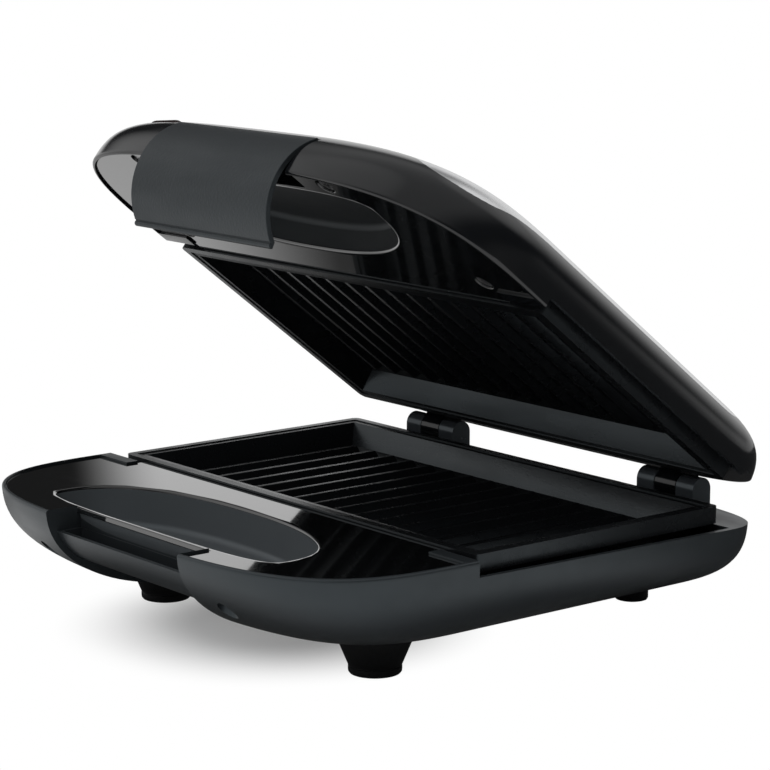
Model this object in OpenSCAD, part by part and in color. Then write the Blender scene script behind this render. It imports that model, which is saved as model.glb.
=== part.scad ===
// Two-slice sandwich toaster: clam-shell housings, ribbed cooking plates, rear hinge and front latch clip.
// Origin: on the table, midway along the footprint with the lid open. +X right, +Y to the hinge, +Z up.
// Lid pieces are drawn as they lie when closed, and lid_frame() swings them open about the hinge.
// Closed, the decks, plates and nose of the lid mirror those of the base across the plane at rim_z.

/* [Cooking plates] */
// Width of a cooking plate over its rim
plate_w = 236; // [208:1:266]
// Depth of a cooking plate, front to back
plate_d = 130; // [116:1:146]
// Height of the closing plane, where the two rims meet
rim_z = 54.2; // [53:0.1:58]
// Gap between the two rims when closed
plate_gap = 0.4; // [0.3:0.1:1]
// Width of the flat rim
rim_w = 6.5; // [5:0.5:9]
// Height of the skirt under the rim
skirt_h = 7; // [5:0.5:9]
// Thickness of the cast wall
cast_t = 2.6; // [2:0.2:3.4]
// Depth of the cooking tray
tray_depth = 10; // [7:0.5:11]
// How far the tray walls lean in
tray_lean = 5; // [2:0.5:8]
// Distance from rib to rib
rib_pitch = 13.6; // [10:0.2:18]
// Height of a rib
rib_h = 2.6; // [1.5:0.1:4]
// Width of a rib at its crest
rib_crest = 2.4; // [1.5:0.1:4]
// Width of a rib at its foot
rib_foot = 6.4; // [4.5:0.1:9]
// Width of the raised outer band of the rim
rim_band = 3.6; // [2:0.2:5]
// Space between the ribs' ends and the tray wall
rib_end = 7; // [2:0.5:12]

/* [Housings] */
// Room from a plate's side to the housing's side, at the rim
side_room = 7; // [6:0.5:12]
// Reach of the base in front of the plates
front_room = 86.5; // [84:0.5:96]
// Reach of the base behind the plates
back_room = 26; // [24:0.5:28]
// Height of the base housing from its rim to its flat underside
base_h = 40.5; // [38:0.5:42]
// How far the lid's front lies behind the base's front
lid_front_step = 3.3; // [2:0.1:4]
// How far the lid's back lies in front of the base's back
lid_back_step = 5; // [4.5:0.1:8]
// Height of the lid housing above its rim
lid_h = 36.4; // [35:0.2:40]
// Wall of the moulded housings
wall = 2.4; // [1.8:0.1:3]
// Gap between the closed front rims
rim_gap = 0.7; // [0.5:0.1:1.5]
// How far the rims stand proud of the gloss decks
rim_lip = 0.9; // [0.5:0.1:1.5]
// Width of the rim beside a deck
rim_edge = 1.5; // [1:0.1:1.7]
// Thickness of the decks and the pocket walls
deck_t = 2.2; // [1.6:0.1:3]
// Space between the front block and the plate
block_gap = 4; // [3:0.5:6]
// Height of the base's side rim over the table, at the back
side_rim_z = 45; // [43:0.2:46]
// Rise of the base's side rim towards the front
side_rim_rise = 2.3; // [1:0.1:3]
// Height of the lid's side rim over the closing plane
lid_side_z = 4.8; // [3.6:0.2:6]
// Height of the lid's rear shelf over the closing plane
lid_shelf_z = 7.2; // [7:0.1:9]
// Thickness of the stainless top cover
steel_t = 0.8; // [0.6:0.1:1.2]
// Space from the stainless cover's side to the housing's side
steel_side = 5.5; // [4:0.5:14]
// Space from the stainless cover's front to the base's front
steel_front_room = 32.5; // [31:0.5:42]
// Space from the stainless cover's back to the base's back
steel_back_room = 21; // [16:0.5:30]

/* [Handle] */
// Half width of the notch that the clip closes over
notch_half = 46; // [40:0.5:52]
// Radius of the nose under the clip
nose_r = 26; // [25.6:0.1:26.4]
// Distance from the base's front to the centre of the nose
nose_room = 30; // [29.6:0.1:30.6]
// Height of the ledge in the base notch over the table
ledge_z = 44.6; // [40:0.2:47]
// Space from the finger pocket's side to the housing's side
pocket_side = 48; // [46:0.5:62]
// Space from the finger pocket to the base's front
pocket_front_room = 18; // [18:0.5:20]
// Space from the finger pocket to the plate
pocket_plate_room = 20; // [14:0.5:28]
// Depth of the finger pocket in the base
pocket_depth = 16; // [10:0.5:16]
// Depth of the finger pocket in the lid
lid_pocket_depth = 10.5; // [8:0.5:10.5]
// How far a finger pocket's wall leans in over its depth
pocket_lean = 3.5; // [1:0.5:5]

/* [Latch clip] */
// Thickness of the clip
clip_t = 2.2; // [1.8:0.1:2.6]
// Running gap between the clip and what it covers
clip_gap = 0.4; // [0.3:0.05:0.6]
// Angle that the clip reaches round under the closing plane
clip_under = 62; // [50:1:66]
// Angle over the front from which the clip runs back, to its upper edge
clip_slope = 45; // [42:1:50]
// How far the clip's pivot lies in front of its upper edge
pivot_inset = 3; // [2.4:0.1:3.4]
// Radius of the clip's pivot barrel
barrel_r = 3; // [2.6:0.1:3.2]
// Radius of the latch pin
latch_pin_r = 1.5; // [1.2:0.1:1.6]
// Length of the latch pin inside each cheek
latch_pin_seat = 4; // [2:0.5:6]

/* [Hinge] */
// Opening angle that the model shows
open_angle = 37.7; // [5:0.1:98]
// Distance from the base's back to the hinge axis
hinge_inset = 10.7; // [9.8:0.1:11.4]
// Height of the hinge axis over the closing plane
hinge_up = -0.3; // [-0.6:0.1:0.4]
// Distance from a plate's side to the middle of a hinge
hinge_side = 41.5; // [34:0.5:56]
// Radius of the hinge ears and barrels
hinge_r = 5.2; // [4.6:0.1:5.4]
// Width of the middle barrel of a hinge
hinge_barrel_w = 12; // [10:0.5:16]
// Width of each ear of a hinge
hinge_ear_w = 10; // [6:0.5:12]
// Side gap between an ear and the barrel
hinge_gap = 0.5; // [0.3:0.1:1]
// Radius of the hinge pins
hinge_pin_r = 2; // [1.5:0.1:2.5]
// Wall left over the end of a hinge pin
hinge_cap = 1.6; // [1:0.1:3]
// Running clearance of a pin in its bore, on the radius
pin_clear = 0.05; // [0.03:0.01:0.1]

/* [Feet] */
// Distance from a plate's side to a front foot
front_foot_side = 46.5; // [42:0.5:52]
// Distance from the plate to the front feet
front_foot_room = 11; // [6:0.5:15]
// Distance from a plate's side to a rear foot
rear_foot_side = 63; // [50:0.5:72]
// Distance from the base's back to the rear feet
rear_foot_inset = 13; // [12:0.5:28]
// Radius of a front foot at the table
foot_r = 10.6; // [8:0.2:12]
// Radius of a front foot where it meets the housing
foot_top_r = 16.2; // [14:0.2:18]
// Height of the straight part of a front foot
foot_pad_h = 3.2; // [2:0.2:5]
// Radius of a rear foot
rear_foot_r = 7.2; // [6:0.2:8]
// How far a foot reaches into its socket over the housing's underside
foot_seat = 6; // [5:0.5:8]

/* [Screws] */
// Distance from the notch to the front deck screws
deck_screw_side = 16; // [13:0.5:24]
// Distance from the base's front to the front deck screws
deck_screw_inset = 12.5; // [11.6:0.1:13.4]
// Distance from the housing's side to the side deck screws
deck_side_inset = 27; // [23:0.5:31]
// Distance from the plate to the side deck screws
deck_side_room = 14; // [12:0.5:16]
// Distance from a plate's side to its screws
screw_side = 30; // [24:0.5:42]
// Distance from a plate's front or back to its screws
screw_inset = 18; // [17:0.5:21]
// Radius of every screw
screw_r = 2; // [1.5:0.1:2.2]
// Radius of a screw head
screw_head_r = 3.6; // [3:0.1:3.8]
// Height of a screw head
screw_head_h = 2.4; // [1.6:0.1:2.6]

/* [Heating and wiring] */
// Radius of the heating tube
element_r = 3.2; // [2.6:0.1:3.6]
// Distance from a plate's front or back to the heating tube
element_inset = 31; // [28:0.5:39]
// Distance from a plate's side to the ends of the tube's straight legs
element_side = 50; // [48:0.5:62]
// Thickness of the heat shield sheet
shield_t = 0.8; // [0.6:0.1:1.2]
// Space between a plate's floor and its heat shield
shield_drop = 8; // [7.5:0.5:9]
// Width of the indicator lens
lens_w = 24; // [18:1:28]
// Radius of the indicator lens
lens_r = 4; // [3.4:0.1:4.4]
// Distance from the notch to the middle of the indicator lens
lens_side = 18; // [16:0.5:22]

/* [Hidden] */

// How far the plates sit behind the origin, which is midway along the footprint with the lid open
plates_back = 27.9;
// Smoothness of round parts
round_fn = 64;
// Points in each quarter of a housing outline
quarter = 11;
// Overshoot of a cut past a face
cut = 1;
// Clearance of fixed pieces in their seats
seat = 0.1;

// Radius of the cast studs under a plate
stud_r = 4.6;
// Corner radius of a plate's rim
rim_corner = 3;
// Drop from a rim's outer band to its inner band
rim_step = 0.5;
// Two small lugs stand out of each plate's back edge
lug_side = 63;
lug_w = 8;
lug_out = 2;
// Length of the heating tube's cold ends
element_tail = 16;
// Where the decks' back corners are cut off
deck_corner_side = 23;
deck_corner_room = 10;
// Room round a screw's head, and the wall of a screw boss
head_room = 0.4;
boss_wall = 1.5;
// Blocks that carry the heating tube under a plate
saddle_half = 4;
saddle_wall = 2.5;
// Margins of a heat shield inside its plate
shield_side = 9;
shield_end = 6;
// Fillet between a finger pocket's wall and floor
pocket_fillet = 3;
pocket_fillet_h = 3;
// Grip of a deck screw in its boss, under the head
deck_screw_grip = 3;
// Thermostat disc, and its smaller cap
thermostat_r = 9;
thermostat_h = 4;
thermostat_cap_r = 6.5;
thermostat_cap_h = 2.5;
// Thermal fuse and its bracket
fuse_r = 2.4;
fuse_l = 18;
bracket_half = 4;
bracket_t = 1.2;
// Place and turn of the lens in the nose
lens_inset = 13.7;
lens_up = 20.9;
lens_turn = -8;
// Indicator lamps in the lens
lamp_r = 1.6;
lamp_l = 6;
lamp_apart = 5;
lamp_tilt = 210;
// Thickness of the housings' shoulders beside the decks
shoulder_t = 4;
// Space between a plate's back and the shelf behind it
shelf_gap = 1.6;
// Length of the studs under the decks
deck_stud_h = 6;
// Depth of a plate screw's head under its heat shield
screw_seat = 9;
screw_seat_lid = 4.6;
// Fit of a pin in its fixed seat
pin_seat = 0.02;
// Height of the rear feet's tops
rear_foot_top = 27;
// Gland for a cord, in the back wall
gland_x = 0;
gland_z = 31;
gland_r = 6.5;
gland_out = 1;
gland_l = 14;
gland_wall = 3;
gland_flange = 2.4;
// Terminal block and its platform
terminal_inset = 39;
terminal_z = 20;
terminal_w = 34;
terminal_d = 12;
terminal_h = 9;

half_w = plate_w / 2;
plate_y = plate_d / 2;
body_half = half_w + side_room;
deck_corner_x = body_half - deck_corner_side;
deck_corner_y = plate_y + deck_corner_room;
base_front = plate_y + front_room;
base_rear = plate_y + back_room;
lid_front = base_front - lid_front_step;
lid_rear = base_rear - lid_back_step;
steel_half = body_half - steel_side;
steel_front = base_front - steel_front_room;
steel_rear = base_rear - steel_back_room;
nose_y = base_front - nose_room;
pocket_half = body_half - pocket_side;
pocket_front = base_front - pocket_front_room;
pocket_back = plate_y + pocket_plate_room;
// Widest line of the finger pocket
pocket_knee = pocket_front - 0.24 * (pocket_front - pocket_back);
hinge_y = base_rear - hinge_inset;
hinge_x = half_w - hinge_side;
front_foot_x = half_w - front_foot_side;
front_foot_y = plate_y + front_foot_room;
rear_foot_x = half_w - rear_foot_side;
rear_foot_y = base_rear - rear_foot_inset;
deck_screw_x = notch_half + deck_screw_side;
deck_screw_y = base_front - deck_screw_inset;
deck_side_x = body_half - deck_side_inset;
deck_side_y = plate_y + deck_side_room;
screw_x = half_w - screw_side;
screw_y = plate_y - screw_inset;
element_leg = plate_y - element_inset;
element_half = half_w - element_side;
lens_x = notch_half + lens_side;
lug_x = half_w - lug_side;
// Beyond every housing, for cuts that pass right through
beyond = 2 * body_half;
gland_face = base_rear + gland_out;
terminal_y = base_rear - terminal_inset;
base_rim = rim_z - rim_gap / 2;
lid_rim = rim_z + rim_gap / 2;
base_floor = base_rim - base_h;
base_deck_z = base_rim - rim_lip;
lid_deck_z = lid_rim + rim_lip;
block_y = -(plate_y + block_gap);
hinge_z = rim_z + hinge_up;
deck_back = -(plate_y + 0.6);

// The nose is a cylinder lying across the closing plane, and the clip wraps round it
clip_in = nose_r + clip_gap;
clip_out = clip_in + clip_t;
clip_half = notch_half - clip_gap;
// The barrel lies just under the clip's outer face
barrel_sink = 0.5;
// Slope of the base's underside behind the nose
under_slope = 25;
notch_back = -(pocket_front + deck_t + 0.4);
// Axis of the latch, near the clip's upper edge, and the room that the edge needs to swing
latch_reach = clip_out - barrel_r - barrel_sink;
latch_y = -nose_y - latch_reach * sin(clip_slope) - pivot_inset * cos(clip_slope);
latch_z = rim_z + latch_reach * cos(clip_slope) - pivot_inset * sin(clip_slope);
latch_room = norm([pivot_inset, clip_out - latch_reach]) + clip_gap;

// Rounded outline: a squared-off ellipse at each end of a straight middle
function pull(t, p) = sign(t) * pow(abs(t), 2 / p);
function outline(half, front, rear, knee_front, knee_rear, p_front, p_rear, n = quarter) = concat(
    [for (i = [0:2 * n]) let (a = 90 * i / n)
        [half * pull(cos(a), p_rear), knee_rear + (rear - knee_rear) * pull(sin(a), p_rear)]],
    [for (i = [0:2 * n]) let (a = 180 + 90 * i / n)
        [half * pull(cos(a), p_front), knee_front - (knee_front + front) * -pull(sin(a), p_front)]]);

// Share of a reach that is left at a share s of the height, for a profile of squareness p
function reach(s, p) = pow(1 - pow(s, p), 1 / p);

// Reach of the underside's flat, in front and behind, and of the lid's crown
front_flat = 0.495 * base_front;
rear_flat = 0.505 * base_rear;
crown_front = 0.2 * lid_front;
crown_rear = 0.35 * lid_rear;

function base_ring(s, inset) = let (
    front = front_flat + (base_front - inset - front_flat) * reach(s, 2.05),
    rear = rear_flat + (base_rear - inset - rear_flat) * reach(s, 3))
    outline(half = (body_half - inset) * reach(s, 3.75), front = front, rear = rear,
        knee_front = -0.45 * front, knee_rear = 0.58 * rear, p_front = 3.6, p_rear = 5);

function lid_ring(s, inset) = let (
    front = crown_front + (lid_front - inset - crown_front) * reach(s, 3),
    rear = crown_rear + (lid_rear - inset - crown_rear) * reach(s, 3))
    outline(half = (body_half - inset) * reach(s, 3.5), front = front, rear = rear,
        knee_front = -0.46 * front, knee_rear = 0.58 * rear, p_front = 3.6, p_rear = 5);

// Solid through a stack of rings with the same number of points, from the lowest to the highest
module loft(rings, heights) {
    n = len(rings[0]);
    m = len(rings);
    points = [for (k = [0:m - 1]) for (p = rings[k]) [p[0], p[1], heights[k]]];
    sides = [for (k = [0:m - 2]) for (i = [0:n - 1]) let (j = (i + 1) % n)
        for (f = [[k * n + i, (k + 1) * n + i, (k + 1) * n + j], [k * n + i, (k + 1) * n + j, k * n + j]]) f];
    bottom = [for (i = [0:n - 1]) i];
    top = [for (i = [n - 1:-1:0]) (m - 1) * n + i];
    polyhedron(points, concat(sides, [bottom, top]));
}

// The last step up a housing's profile, where its flat top or underside begins
last_step = 78;
lid_last_step = 84;

// The base's outer form, or the space inside its wall, open over the rim by a small overshoot
module base_form(inset, over = 0) {
    angles = [last_step, 69, 59, 48, 36, 24, 12, 0];
    rings = [for (a = angles) base_ring(sin(a), inset)];
    heights = [for (a = angles) base_rim - (base_h - inset) * sin(a)];
    loft(over > 0 ? concat(rings, [base_ring(0, inset)]) : rings,
        over > 0 ? concat(heights, [base_rim + over]) : heights);
}

module lid_form(inset, under = 0) {
    angles = [0, 12, 24, 36, 48, 59, 69, 77, lid_last_step];
    rings = [for (a = angles) lid_ring(sin(a), inset)];
    heights = [for (a = angles) lid_rim + (lid_h - inset) * sin(a)];
    loft(under > 0 ? concat([lid_ring(0, inset)], rings) : rings,
        under > 0 ? concat([lid_rim - under], heights) : heights);
}

module base_frame() translate([0, plates_back, 0]) children();

module lid_frame()
    translate([0, plates_back + hinge_y, hinge_z]) rotate([-open_angle, 0, 0])
        translate([0, -hinge_y, -hinge_z]) children();

// Turns a drawing of depth and height into a bar that runs from side to side
module across(half) translate([-half, 0, 0]) rotate([90, 0, 90]) linear_extrude(2 * half) children();

// Box given by its two corners
module block(low, high) translate(low) cube(high - low);

// Block with rounded upright edges
module slab(half_x, half_y, low, high, r) {
    block([-half_x + r, -half_y, low], [half_x - r, half_y, high]);
    block([-half_x, -half_y + r, low], [half_x, half_y - r, high]);
    for (sx = [-1, 1], sy = [-1, 1])
        translate([sx * (half_x - r), sy * (half_y - r), low]) cylinder(r = r, h = high - low, $fn = 24);
}

module post(x, y, low, high, r) translate([x, y, low]) cylinder(r = r, h = high - low, $fn = round_fn);

// Post at each point of a list
module posts(points, low, high, r) for (p = points) post(p[0], p[1], low, high, r);

deck_screws = [[-deck_screw_x, -deck_screw_y], [deck_screw_x, -deck_screw_y],
    [-deck_side_x, -deck_side_y], [deck_side_x, -deck_side_y]];
plate_screws = [for (sx = [-1, 1], sy = [-1, 1]) [sx * screw_x, sy * screw_y]];

// Cooking plate, drawn with its rim at height 0 and its tray below

// Prism with leaning sides, from side to side or from front to back
module leaning(half, lean, depth, over, length)
    rotate([90, 0, 0]) linear_extrude(2 * length, center = true)
        polygon([[-half, 0], [-half, over], [half, over], [half, 0],
            [half - lean, -depth], [lean - half, -depth]]);

module tray(grow, over) intersection() {
    leaning(half_w - rim_w + grow, tray_lean, tray_depth + grow, over, plate_y);
    rotate(90) leaning(plate_y - rim_w + grow, tray_lean, tray_depth + grow, over, half_w);
}

floor_x = half_w - rim_w - tray_lean;
floor_y = plate_y - rim_w - tray_lean;
rib_count = 2 * floor((floor_x - rib_foot / 2 - 1) / rib_pitch) + 1;
rib_half = floor_y - rib_end;
plate_under = tray_depth + cast_t;

module ribs() intersection() {
    for (i = [0:rib_count - 1]) translate([(i - (rib_count - 1) / 2) * rib_pitch, 0, -tray_depth])
        rotate([90, 0, 0]) linear_extrude(2 * rib_half, center = true)
            polygon([[-rib_foot / 2, -0.5], [-rib_foot / 2, 0], [-rib_crest / 2, rib_h],
                [rib_crest / 2, rib_h], [rib_foot / 2, 0], [rib_foot / 2, -0.5]]);
    rotate(90) leaning(rib_half - rib_h, -rib_h - 0.5, tray_depth + 0.5, 0, half_w);
}

module plate_body() {
    difference() {
        union() {
            slab(half_w, plate_y, -cast_t, 0, rim_corner);
            difference() {
                slab(half_w, plate_y, -skirt_h, -cast_t, rim_corner);
                slab(half_w - cast_t, plate_y - cast_t, -skirt_h - cut, -cast_t, rim_corner - cast_t / 2);
            }
            tray(cast_t, 0);
            posts(plate_screws, -plate_under - shield_drop, -plate_under + 0.5, stud_r);
            for (sx = [-1, 0, 1], sy = [-1, 1]) element_saddle(sx * element_half * 0.7, sy * element_leg);
            for (side = [-1, 1]) block([side * lug_x - lug_w / 2, plate_y - 1, -3],
                [side * lug_x + lug_w / 2, plate_y + lug_out, -0.6]);
        }
        tray(0, cut);
        slab(half_w - rim_band, plate_y - rim_band, -rim_step, cut, 1);
        posts(plate_screws, -plate_under - shield_drop - cut, -tray_depth - cast_t / 2, screw_r + pin_clear);
        element_path(element_r + seat);
    }
    ribs();
}

// Block under the tray floor with a groove for the heating tube
module element_saddle(x, y) block(
    [x - saddle_half, y - element_r - saddle_wall, -plate_under - element_r],
    [x + saddle_half, y + element_r + saddle_wall, -plate_under + 0.5]);

element_z = -(plate_under + element_r + 0.1);

module element_path(r) {
    for (side = [-1, 1]) translate([-element_half - element_tail, side * element_leg, element_z])
        rotate([0, 90, 0]) cylinder(r = r, h = 2 * element_half + element_tail, $fn = 32);
    translate([element_half, 0, element_z]) rotate([0, 0, -90]) rotate_extrude(angle = 180, $fn = round_fn)
        translate([element_leg, 0]) circle(r = r, $fn = 32);
}

// Decks and finger pockets, drawn with the gloss face at height 0 and the pocket below

function pocket_outline(grow) = outline(
    half = pocket_half + grow, front = pocket_front + grow, rear = -pocket_back + grow,
    knee_front = -pocket_knee, knee_rear = -pocket_knee, p_front = 3.5, p_rear = 2.35, n = 12);

module pocket_form(grow, depth, over) loft(
    [pocket_outline(grow - pocket_lean - pocket_fillet), pocket_outline(grow - 0.8 * pocket_lean),
        pocket_outline(grow), pocket_outline(grow)],
    [-depth, -depth + pocket_fillet_h, -1, over]);

// Outline of the gloss decks: the housing's outline, cut off behind and notched in front
module deck_outline(ring, edge, grow) difference() {
    intersection() {
        polygon(ring);
        union() {
            translate([-beyond, -beyond]) square([2 * beyond, beyond - deck_corner_y + grow]);
            translate([-deck_corner_x - grow, -pocket_back])
                square([2 * (deck_corner_x + grow), pocket_back + deck_back + grow]);
        }
    }
    translate([-notch_half - edge + grow, -beyond])
        square([2 * (notch_half + edge - grow), beyond + notch_back + 0.4]);
}

function boss_r(recessed) = boss_wall + (recessed ? screw_head_r + head_room : screw_r);

module deck(ring, depth, recessed) difference() {
    union() {
        translate([0, 0, -deck_t]) linear_extrude(deck_t) deck_outline(ring, 0.6, 0);
        pocket_form(deck_t, depth + deck_t, -0.4);
        posts(deck_screws, -deck_stud_h, -0.5, boss_r(recessed));
    }
    pocket_form(0, depth, cut);
    if (recessed) {
        posts(deck_screws, -deck_stud_h - cut, cut, screw_r + pin_clear);
        posts(deck_screws, -screw_head_h - 1, cut, screw_head_r + head_room);
    } else
        posts(deck_screws, -deck_stud_h - cut, -deck_t / 2, screw_r + pin_clear);
}

// Profile of what the notch takes away, in depth and height, grown into the wall behind it
module notch_profile(grow) {
    r = nose_r - grow;
    down = [cos(under_slope), -sin(under_slope)];
    touch = [-nose_y - r * sin(under_slope), rim_z - r * cos(under_slope)];
    difference() {
        translate([-beyond, 0]) square([beyond - pocket_back, 2 * rim_z]);
        translate([-nose_y, rim_z]) circle(r = r, $fn = 128);
        polygon([touch, touch + beyond * down, [0, rim_z], [0, 2 * rim_z + cut],
            [-nose_y, 2 * rim_z + cut]]);
    }
    translate([-beyond, ledge_z - grow])
        square([beyond + notch_back + 0.3, 2 * rim_z - ledge_z + grow]);
}

// Base

deck_bottom = base_deck_z - deck_t;
shield_z = rim_z - plate_gap / 2 - plate_under - shield_drop;
hinge_in = hinge_x - hinge_barrel_w / 2 - hinge_gap - hinge_ear_w;
hinge_out = hinge_x + hinge_barrel_w / 2 + hinge_gap + hinge_ear_w;
side_slope = side_rim_rise / (base_rear - block_y);

// What the base's sides and back lose over their rim, in depth and height
module side_cut() polygon([[block_y, side_rim_z + side_rim_rise],
    [beyond, side_rim_z + side_rim_rise - side_slope * (beyond - block_y)],
    [beyond, 2 * rim_z], [block_y, 2 * rim_z]]);

module base_ribs() {
    across(notch_half + wall) notch_profile(wall);
    // Wall behind the front block, and the shoulders beside the deck
    block([-beyond, block_y, 0], [beyond, block_y + wall, base_rim]);
    for (side = [0, 1]) mirror([side, 0, 0])
        block([deck_corner_x, -deck_corner_y, base_rim - shoulder_t], [beyond, block_y + 1, base_rim + cut]);
    // Shelf behind the plate
    block([-beyond, plate_y + shelf_gap, side_rim_z - wall], [beyond, beyond, side_rim_z + 2 * wall]);
    posts(plate_screws, 0, shield_z - shield_t, stud_r);
    posts(deck_screws, 0, base_deck_z - deck_stud_h, boss_r(true));
    for (side = [-1, 1]) {
        post(side * rear_foot_x, rear_foot_y, 0, rear_foot_top + wall, rear_foot_r + wall);
        post(side * front_foot_x, -front_foot_y, 0, base_floor + foot_seat + wall, foot_top_r * 0.6 + wall);
        hinge_web(side, hinge_in, hinge_ear_w);
        hinge_web(side, hinge_out - hinge_ear_w, hinge_ear_w);
    }
    translate([gland_x, gland_face - gland_l, gland_z]) rotate([-90, 0, 0])
        cylinder(r = gland_r + gland_wall, h = gland_l, $fn = round_fn);
    block([-terminal_w / 2 - wall, terminal_y - terminal_d / 2 - wall, 0],
        [terminal_w / 2 + wall, terminal_y + terminal_d / 2 + wall, terminal_z]);
}

// Web that carries a hinge ear down into the back wall
module hinge_web(side, start, width) translate([side > 0 ? start : -start - width, 0, 0])
    rotate([90, 0, 90]) linear_extrude(width)
        polygon([[hinge_y - hinge_r, 0], [hinge_y - hinge_r, side_rim_z], [beyond, side_rim_z], [beyond, 0]]);

module hinge_ear(side, start, width) translate([side > 0 ? start : -start - width, 0, 0]) {
    translate([0, hinge_y, hinge_z]) rotate([0, 90, 0]) cylinder(r = hinge_r, h = width, $fn = round_fn);
    block([0, hinge_y - hinge_r, side_rim_z - 4], [width, hinge_y + hinge_r, hinge_z]);
}

module hinge_bore(side, start, width, r) translate([side > 0 ? start : -start - width, hinge_y, hinge_z])
    rotate([0, 90, 0]) cylinder(r = r, h = width, $fn = round_fn);

module base_shell() color([0.19, 0.2, 0.21]) base_frame() difference() {
    union() {
        difference() {
            base_form(0);
            difference() {
                base_form(wall, cut);
                base_ribs();
            }
            translate([0, 0, deck_bottom]) linear_extrude(20)
                deck_outline(base_ring(0, rim_edge - seat), 0, seat);
            pocket_drop();
            across(beyond) side_cut();
        }
        intersection() {
            base_form(0.2);
            union() for (side = [-1, 1]) {
                hinge_web(side, hinge_in, hinge_ear_w);
                hinge_web(side, hinge_out - hinge_ear_w, hinge_ear_w);
            }
        }
        for (side = [-1, 1]) {
            hinge_ear(side, hinge_in, hinge_ear_w);
            hinge_ear(side, hinge_out - hinge_ear_w, hinge_ear_w);
        }
        gland_collar();
    }
    across(notch_half) notch_profile(0);
    for (side = [-1, 1]) {
        hinge_bore(side, hinge_in + hinge_cap, hinge_out - hinge_in - 2 * hinge_cap, hinge_pin_r + pin_seat);
        foot_hole(side * front_foot_x, -front_foot_y);
        post(side * rear_foot_x, rear_foot_y, 0, rear_foot_top, rear_foot_r);
    }
    posts(plate_screws, 0, shield_z - screw_seat, screw_head_r + head_room);
    posts(plate_screws, 0, shield_z + cut, screw_r + pin_clear);
    posts(deck_screws, 0, base_deck_z - deck_stud_h - deck_screw_grip, screw_head_r + head_room);
    posts(deck_screws, 0, base_deck_z, screw_r + pin_clear);
    translate([gland_x, gland_face - 2 * gland_l, gland_z]) rotate([-90, 0, 0])
        cylinder(r = gland_r, h = 3 * gland_l, $fn = round_fn);
}

// Room for the finger pocket, where it comes near a wall
module pocket_drop() translate([0, 0, base_deck_z]) pocket_form(deck_t, pocket_depth + deck_t, cut);

module gland_collar() translate([gland_x, gland_face - gland_l / 2, gland_z]) rotate([-90, 0, 0])
    cylinder(r = gland_r + gland_wall, h = gland_l / 2, $fn = round_fn);

module foot_hole(x, y) post(x, y, 0, base_floor + foot_seat, foot_top_r * 0.6);

module base_deck() color([0.03, 0.03, 0.035]) base_frame()
    translate([0, 0, base_deck_z]) deck(base_ring(0, rim_edge), pocket_depth, false);

module base_plate() color([0.08, 0.08, 0.085]) base_frame()
    translate([0, 0, rim_z - plate_gap / 2]) plate_body();

module heat_shield() difference() {
    block([shield_side - half_w, shield_end - plate_y, -shield_t],
        [half_w - shield_side, plate_y - shield_end, 0]);
    posts(plate_screws, -shield_t - cut, cut, screw_r + pin_clear);
}

module base_heat_shield() color([0.75, 0.76, 0.77]) base_frame() translate([0, 0, shield_z]) heat_shield();

module base_element() color([0.35, 0.34, 0.33]) base_frame() translate([0, 0, rim_z - plate_gap / 2])
    element_path(element_r);

// Screw with its head at height 0 and below, and its shaft pointing up
module screw(length) difference() {
    union() {
        translate([0, 0, -screw_head_h]) cylinder(r = screw_head_r, h = screw_head_h, $fn = 32);
        cylinder(r = screw_r, h = length, $fn = 32);
    }
    for (turn = [0, 90]) rotate(turn)
        block([-screw_head_r * 0.6, -0.5, -screw_head_h - cut], [screw_head_r * 0.6, 0.5, -screw_head_h / 2]);
}

module base_plate_screws() color([0.6, 0.6, 0.6]) base_frame()
    for (p = plate_screws) translate([p[0], p[1], shield_z - screw_seat]) screw(screw_seat + shield_drop - 1);

module base_deck_screws() color([0.6, 0.6, 0.6]) base_frame()
    for (p = deck_screws) translate([p[0], p[1], base_deck_z - deck_stud_h - deck_screw_grip])
        screw(deck_stud_h + deck_screw_grip - 2);

module front_foot() {
    cylinder(r = foot_r, h = foot_pad_h, $fn = round_fn);
    translate([0, 0, foot_pad_h])
        cylinder(r1 = foot_r, r2 = foot_top_r, h = base_floor + 4 - foot_pad_h, $fn = round_fn);
}

module front_feet() color([0.05, 0.05, 0.05]) base_frame() for (side = [-1, 1])
    translate([side * front_foot_x, -front_foot_y, 0]) {
        difference() {
            front_foot();
            translate([-side * front_foot_x, front_foot_y, 0]) base_form(0);
        }
        intersection() {
            cylinder(r = foot_top_r * 0.6, h = base_floor + foot_seat, $fn = round_fn);
            translate([0, 0, foot_pad_h]) cylinder(r = 2 * foot_top_r, h = 2 * foot_top_r);
        }
    }

module rear_feet() color([0.05, 0.05, 0.05]) base_frame() for (side = [-1, 1])
    post(side * rear_foot_x, rear_foot_y, 0, rear_foot_top, rear_foot_r);

module cord_gland() color([0.05, 0.05, 0.05]) base_frame()
    translate([gland_x, gland_face, gland_z]) rotate([90, 0, 0]) difference() {
        union() {
            translate([0, 0, -gland_flange]) cylinder(r = gland_r + 2, h = gland_flange, $fn = round_fn);
            cylinder(r = gland_r, h = gland_l, $fn = round_fn);
        }
        translate([0, 0, -gland_l]) cylinder(r = gland_r - gland_wall, h = 3 * gland_l, $fn = round_fn);
    }

module terminal_block() color([0.85, 0.85, 0.8]) base_frame() difference() {
    block([-terminal_w / 2, terminal_y - terminal_d / 2, terminal_z],
        [terminal_w / 2, terminal_y + terminal_d / 2, terminal_z + terminal_h]);
    for (i = [-1, 0, 1]) {
        post(i * terminal_w / 3, terminal_y, terminal_z + terminal_h / 2, terminal_z + 2 * terminal_h,
            0.2 * terminal_d);
        translate([i * terminal_w / 3, terminal_y - terminal_d, terminal_z + terminal_h / 2])
            rotate([-90, 0, 0]) cylinder(r = 0.15 * terminal_d, h = 2 * terminal_d, $fn = 24);
    }
}

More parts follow.
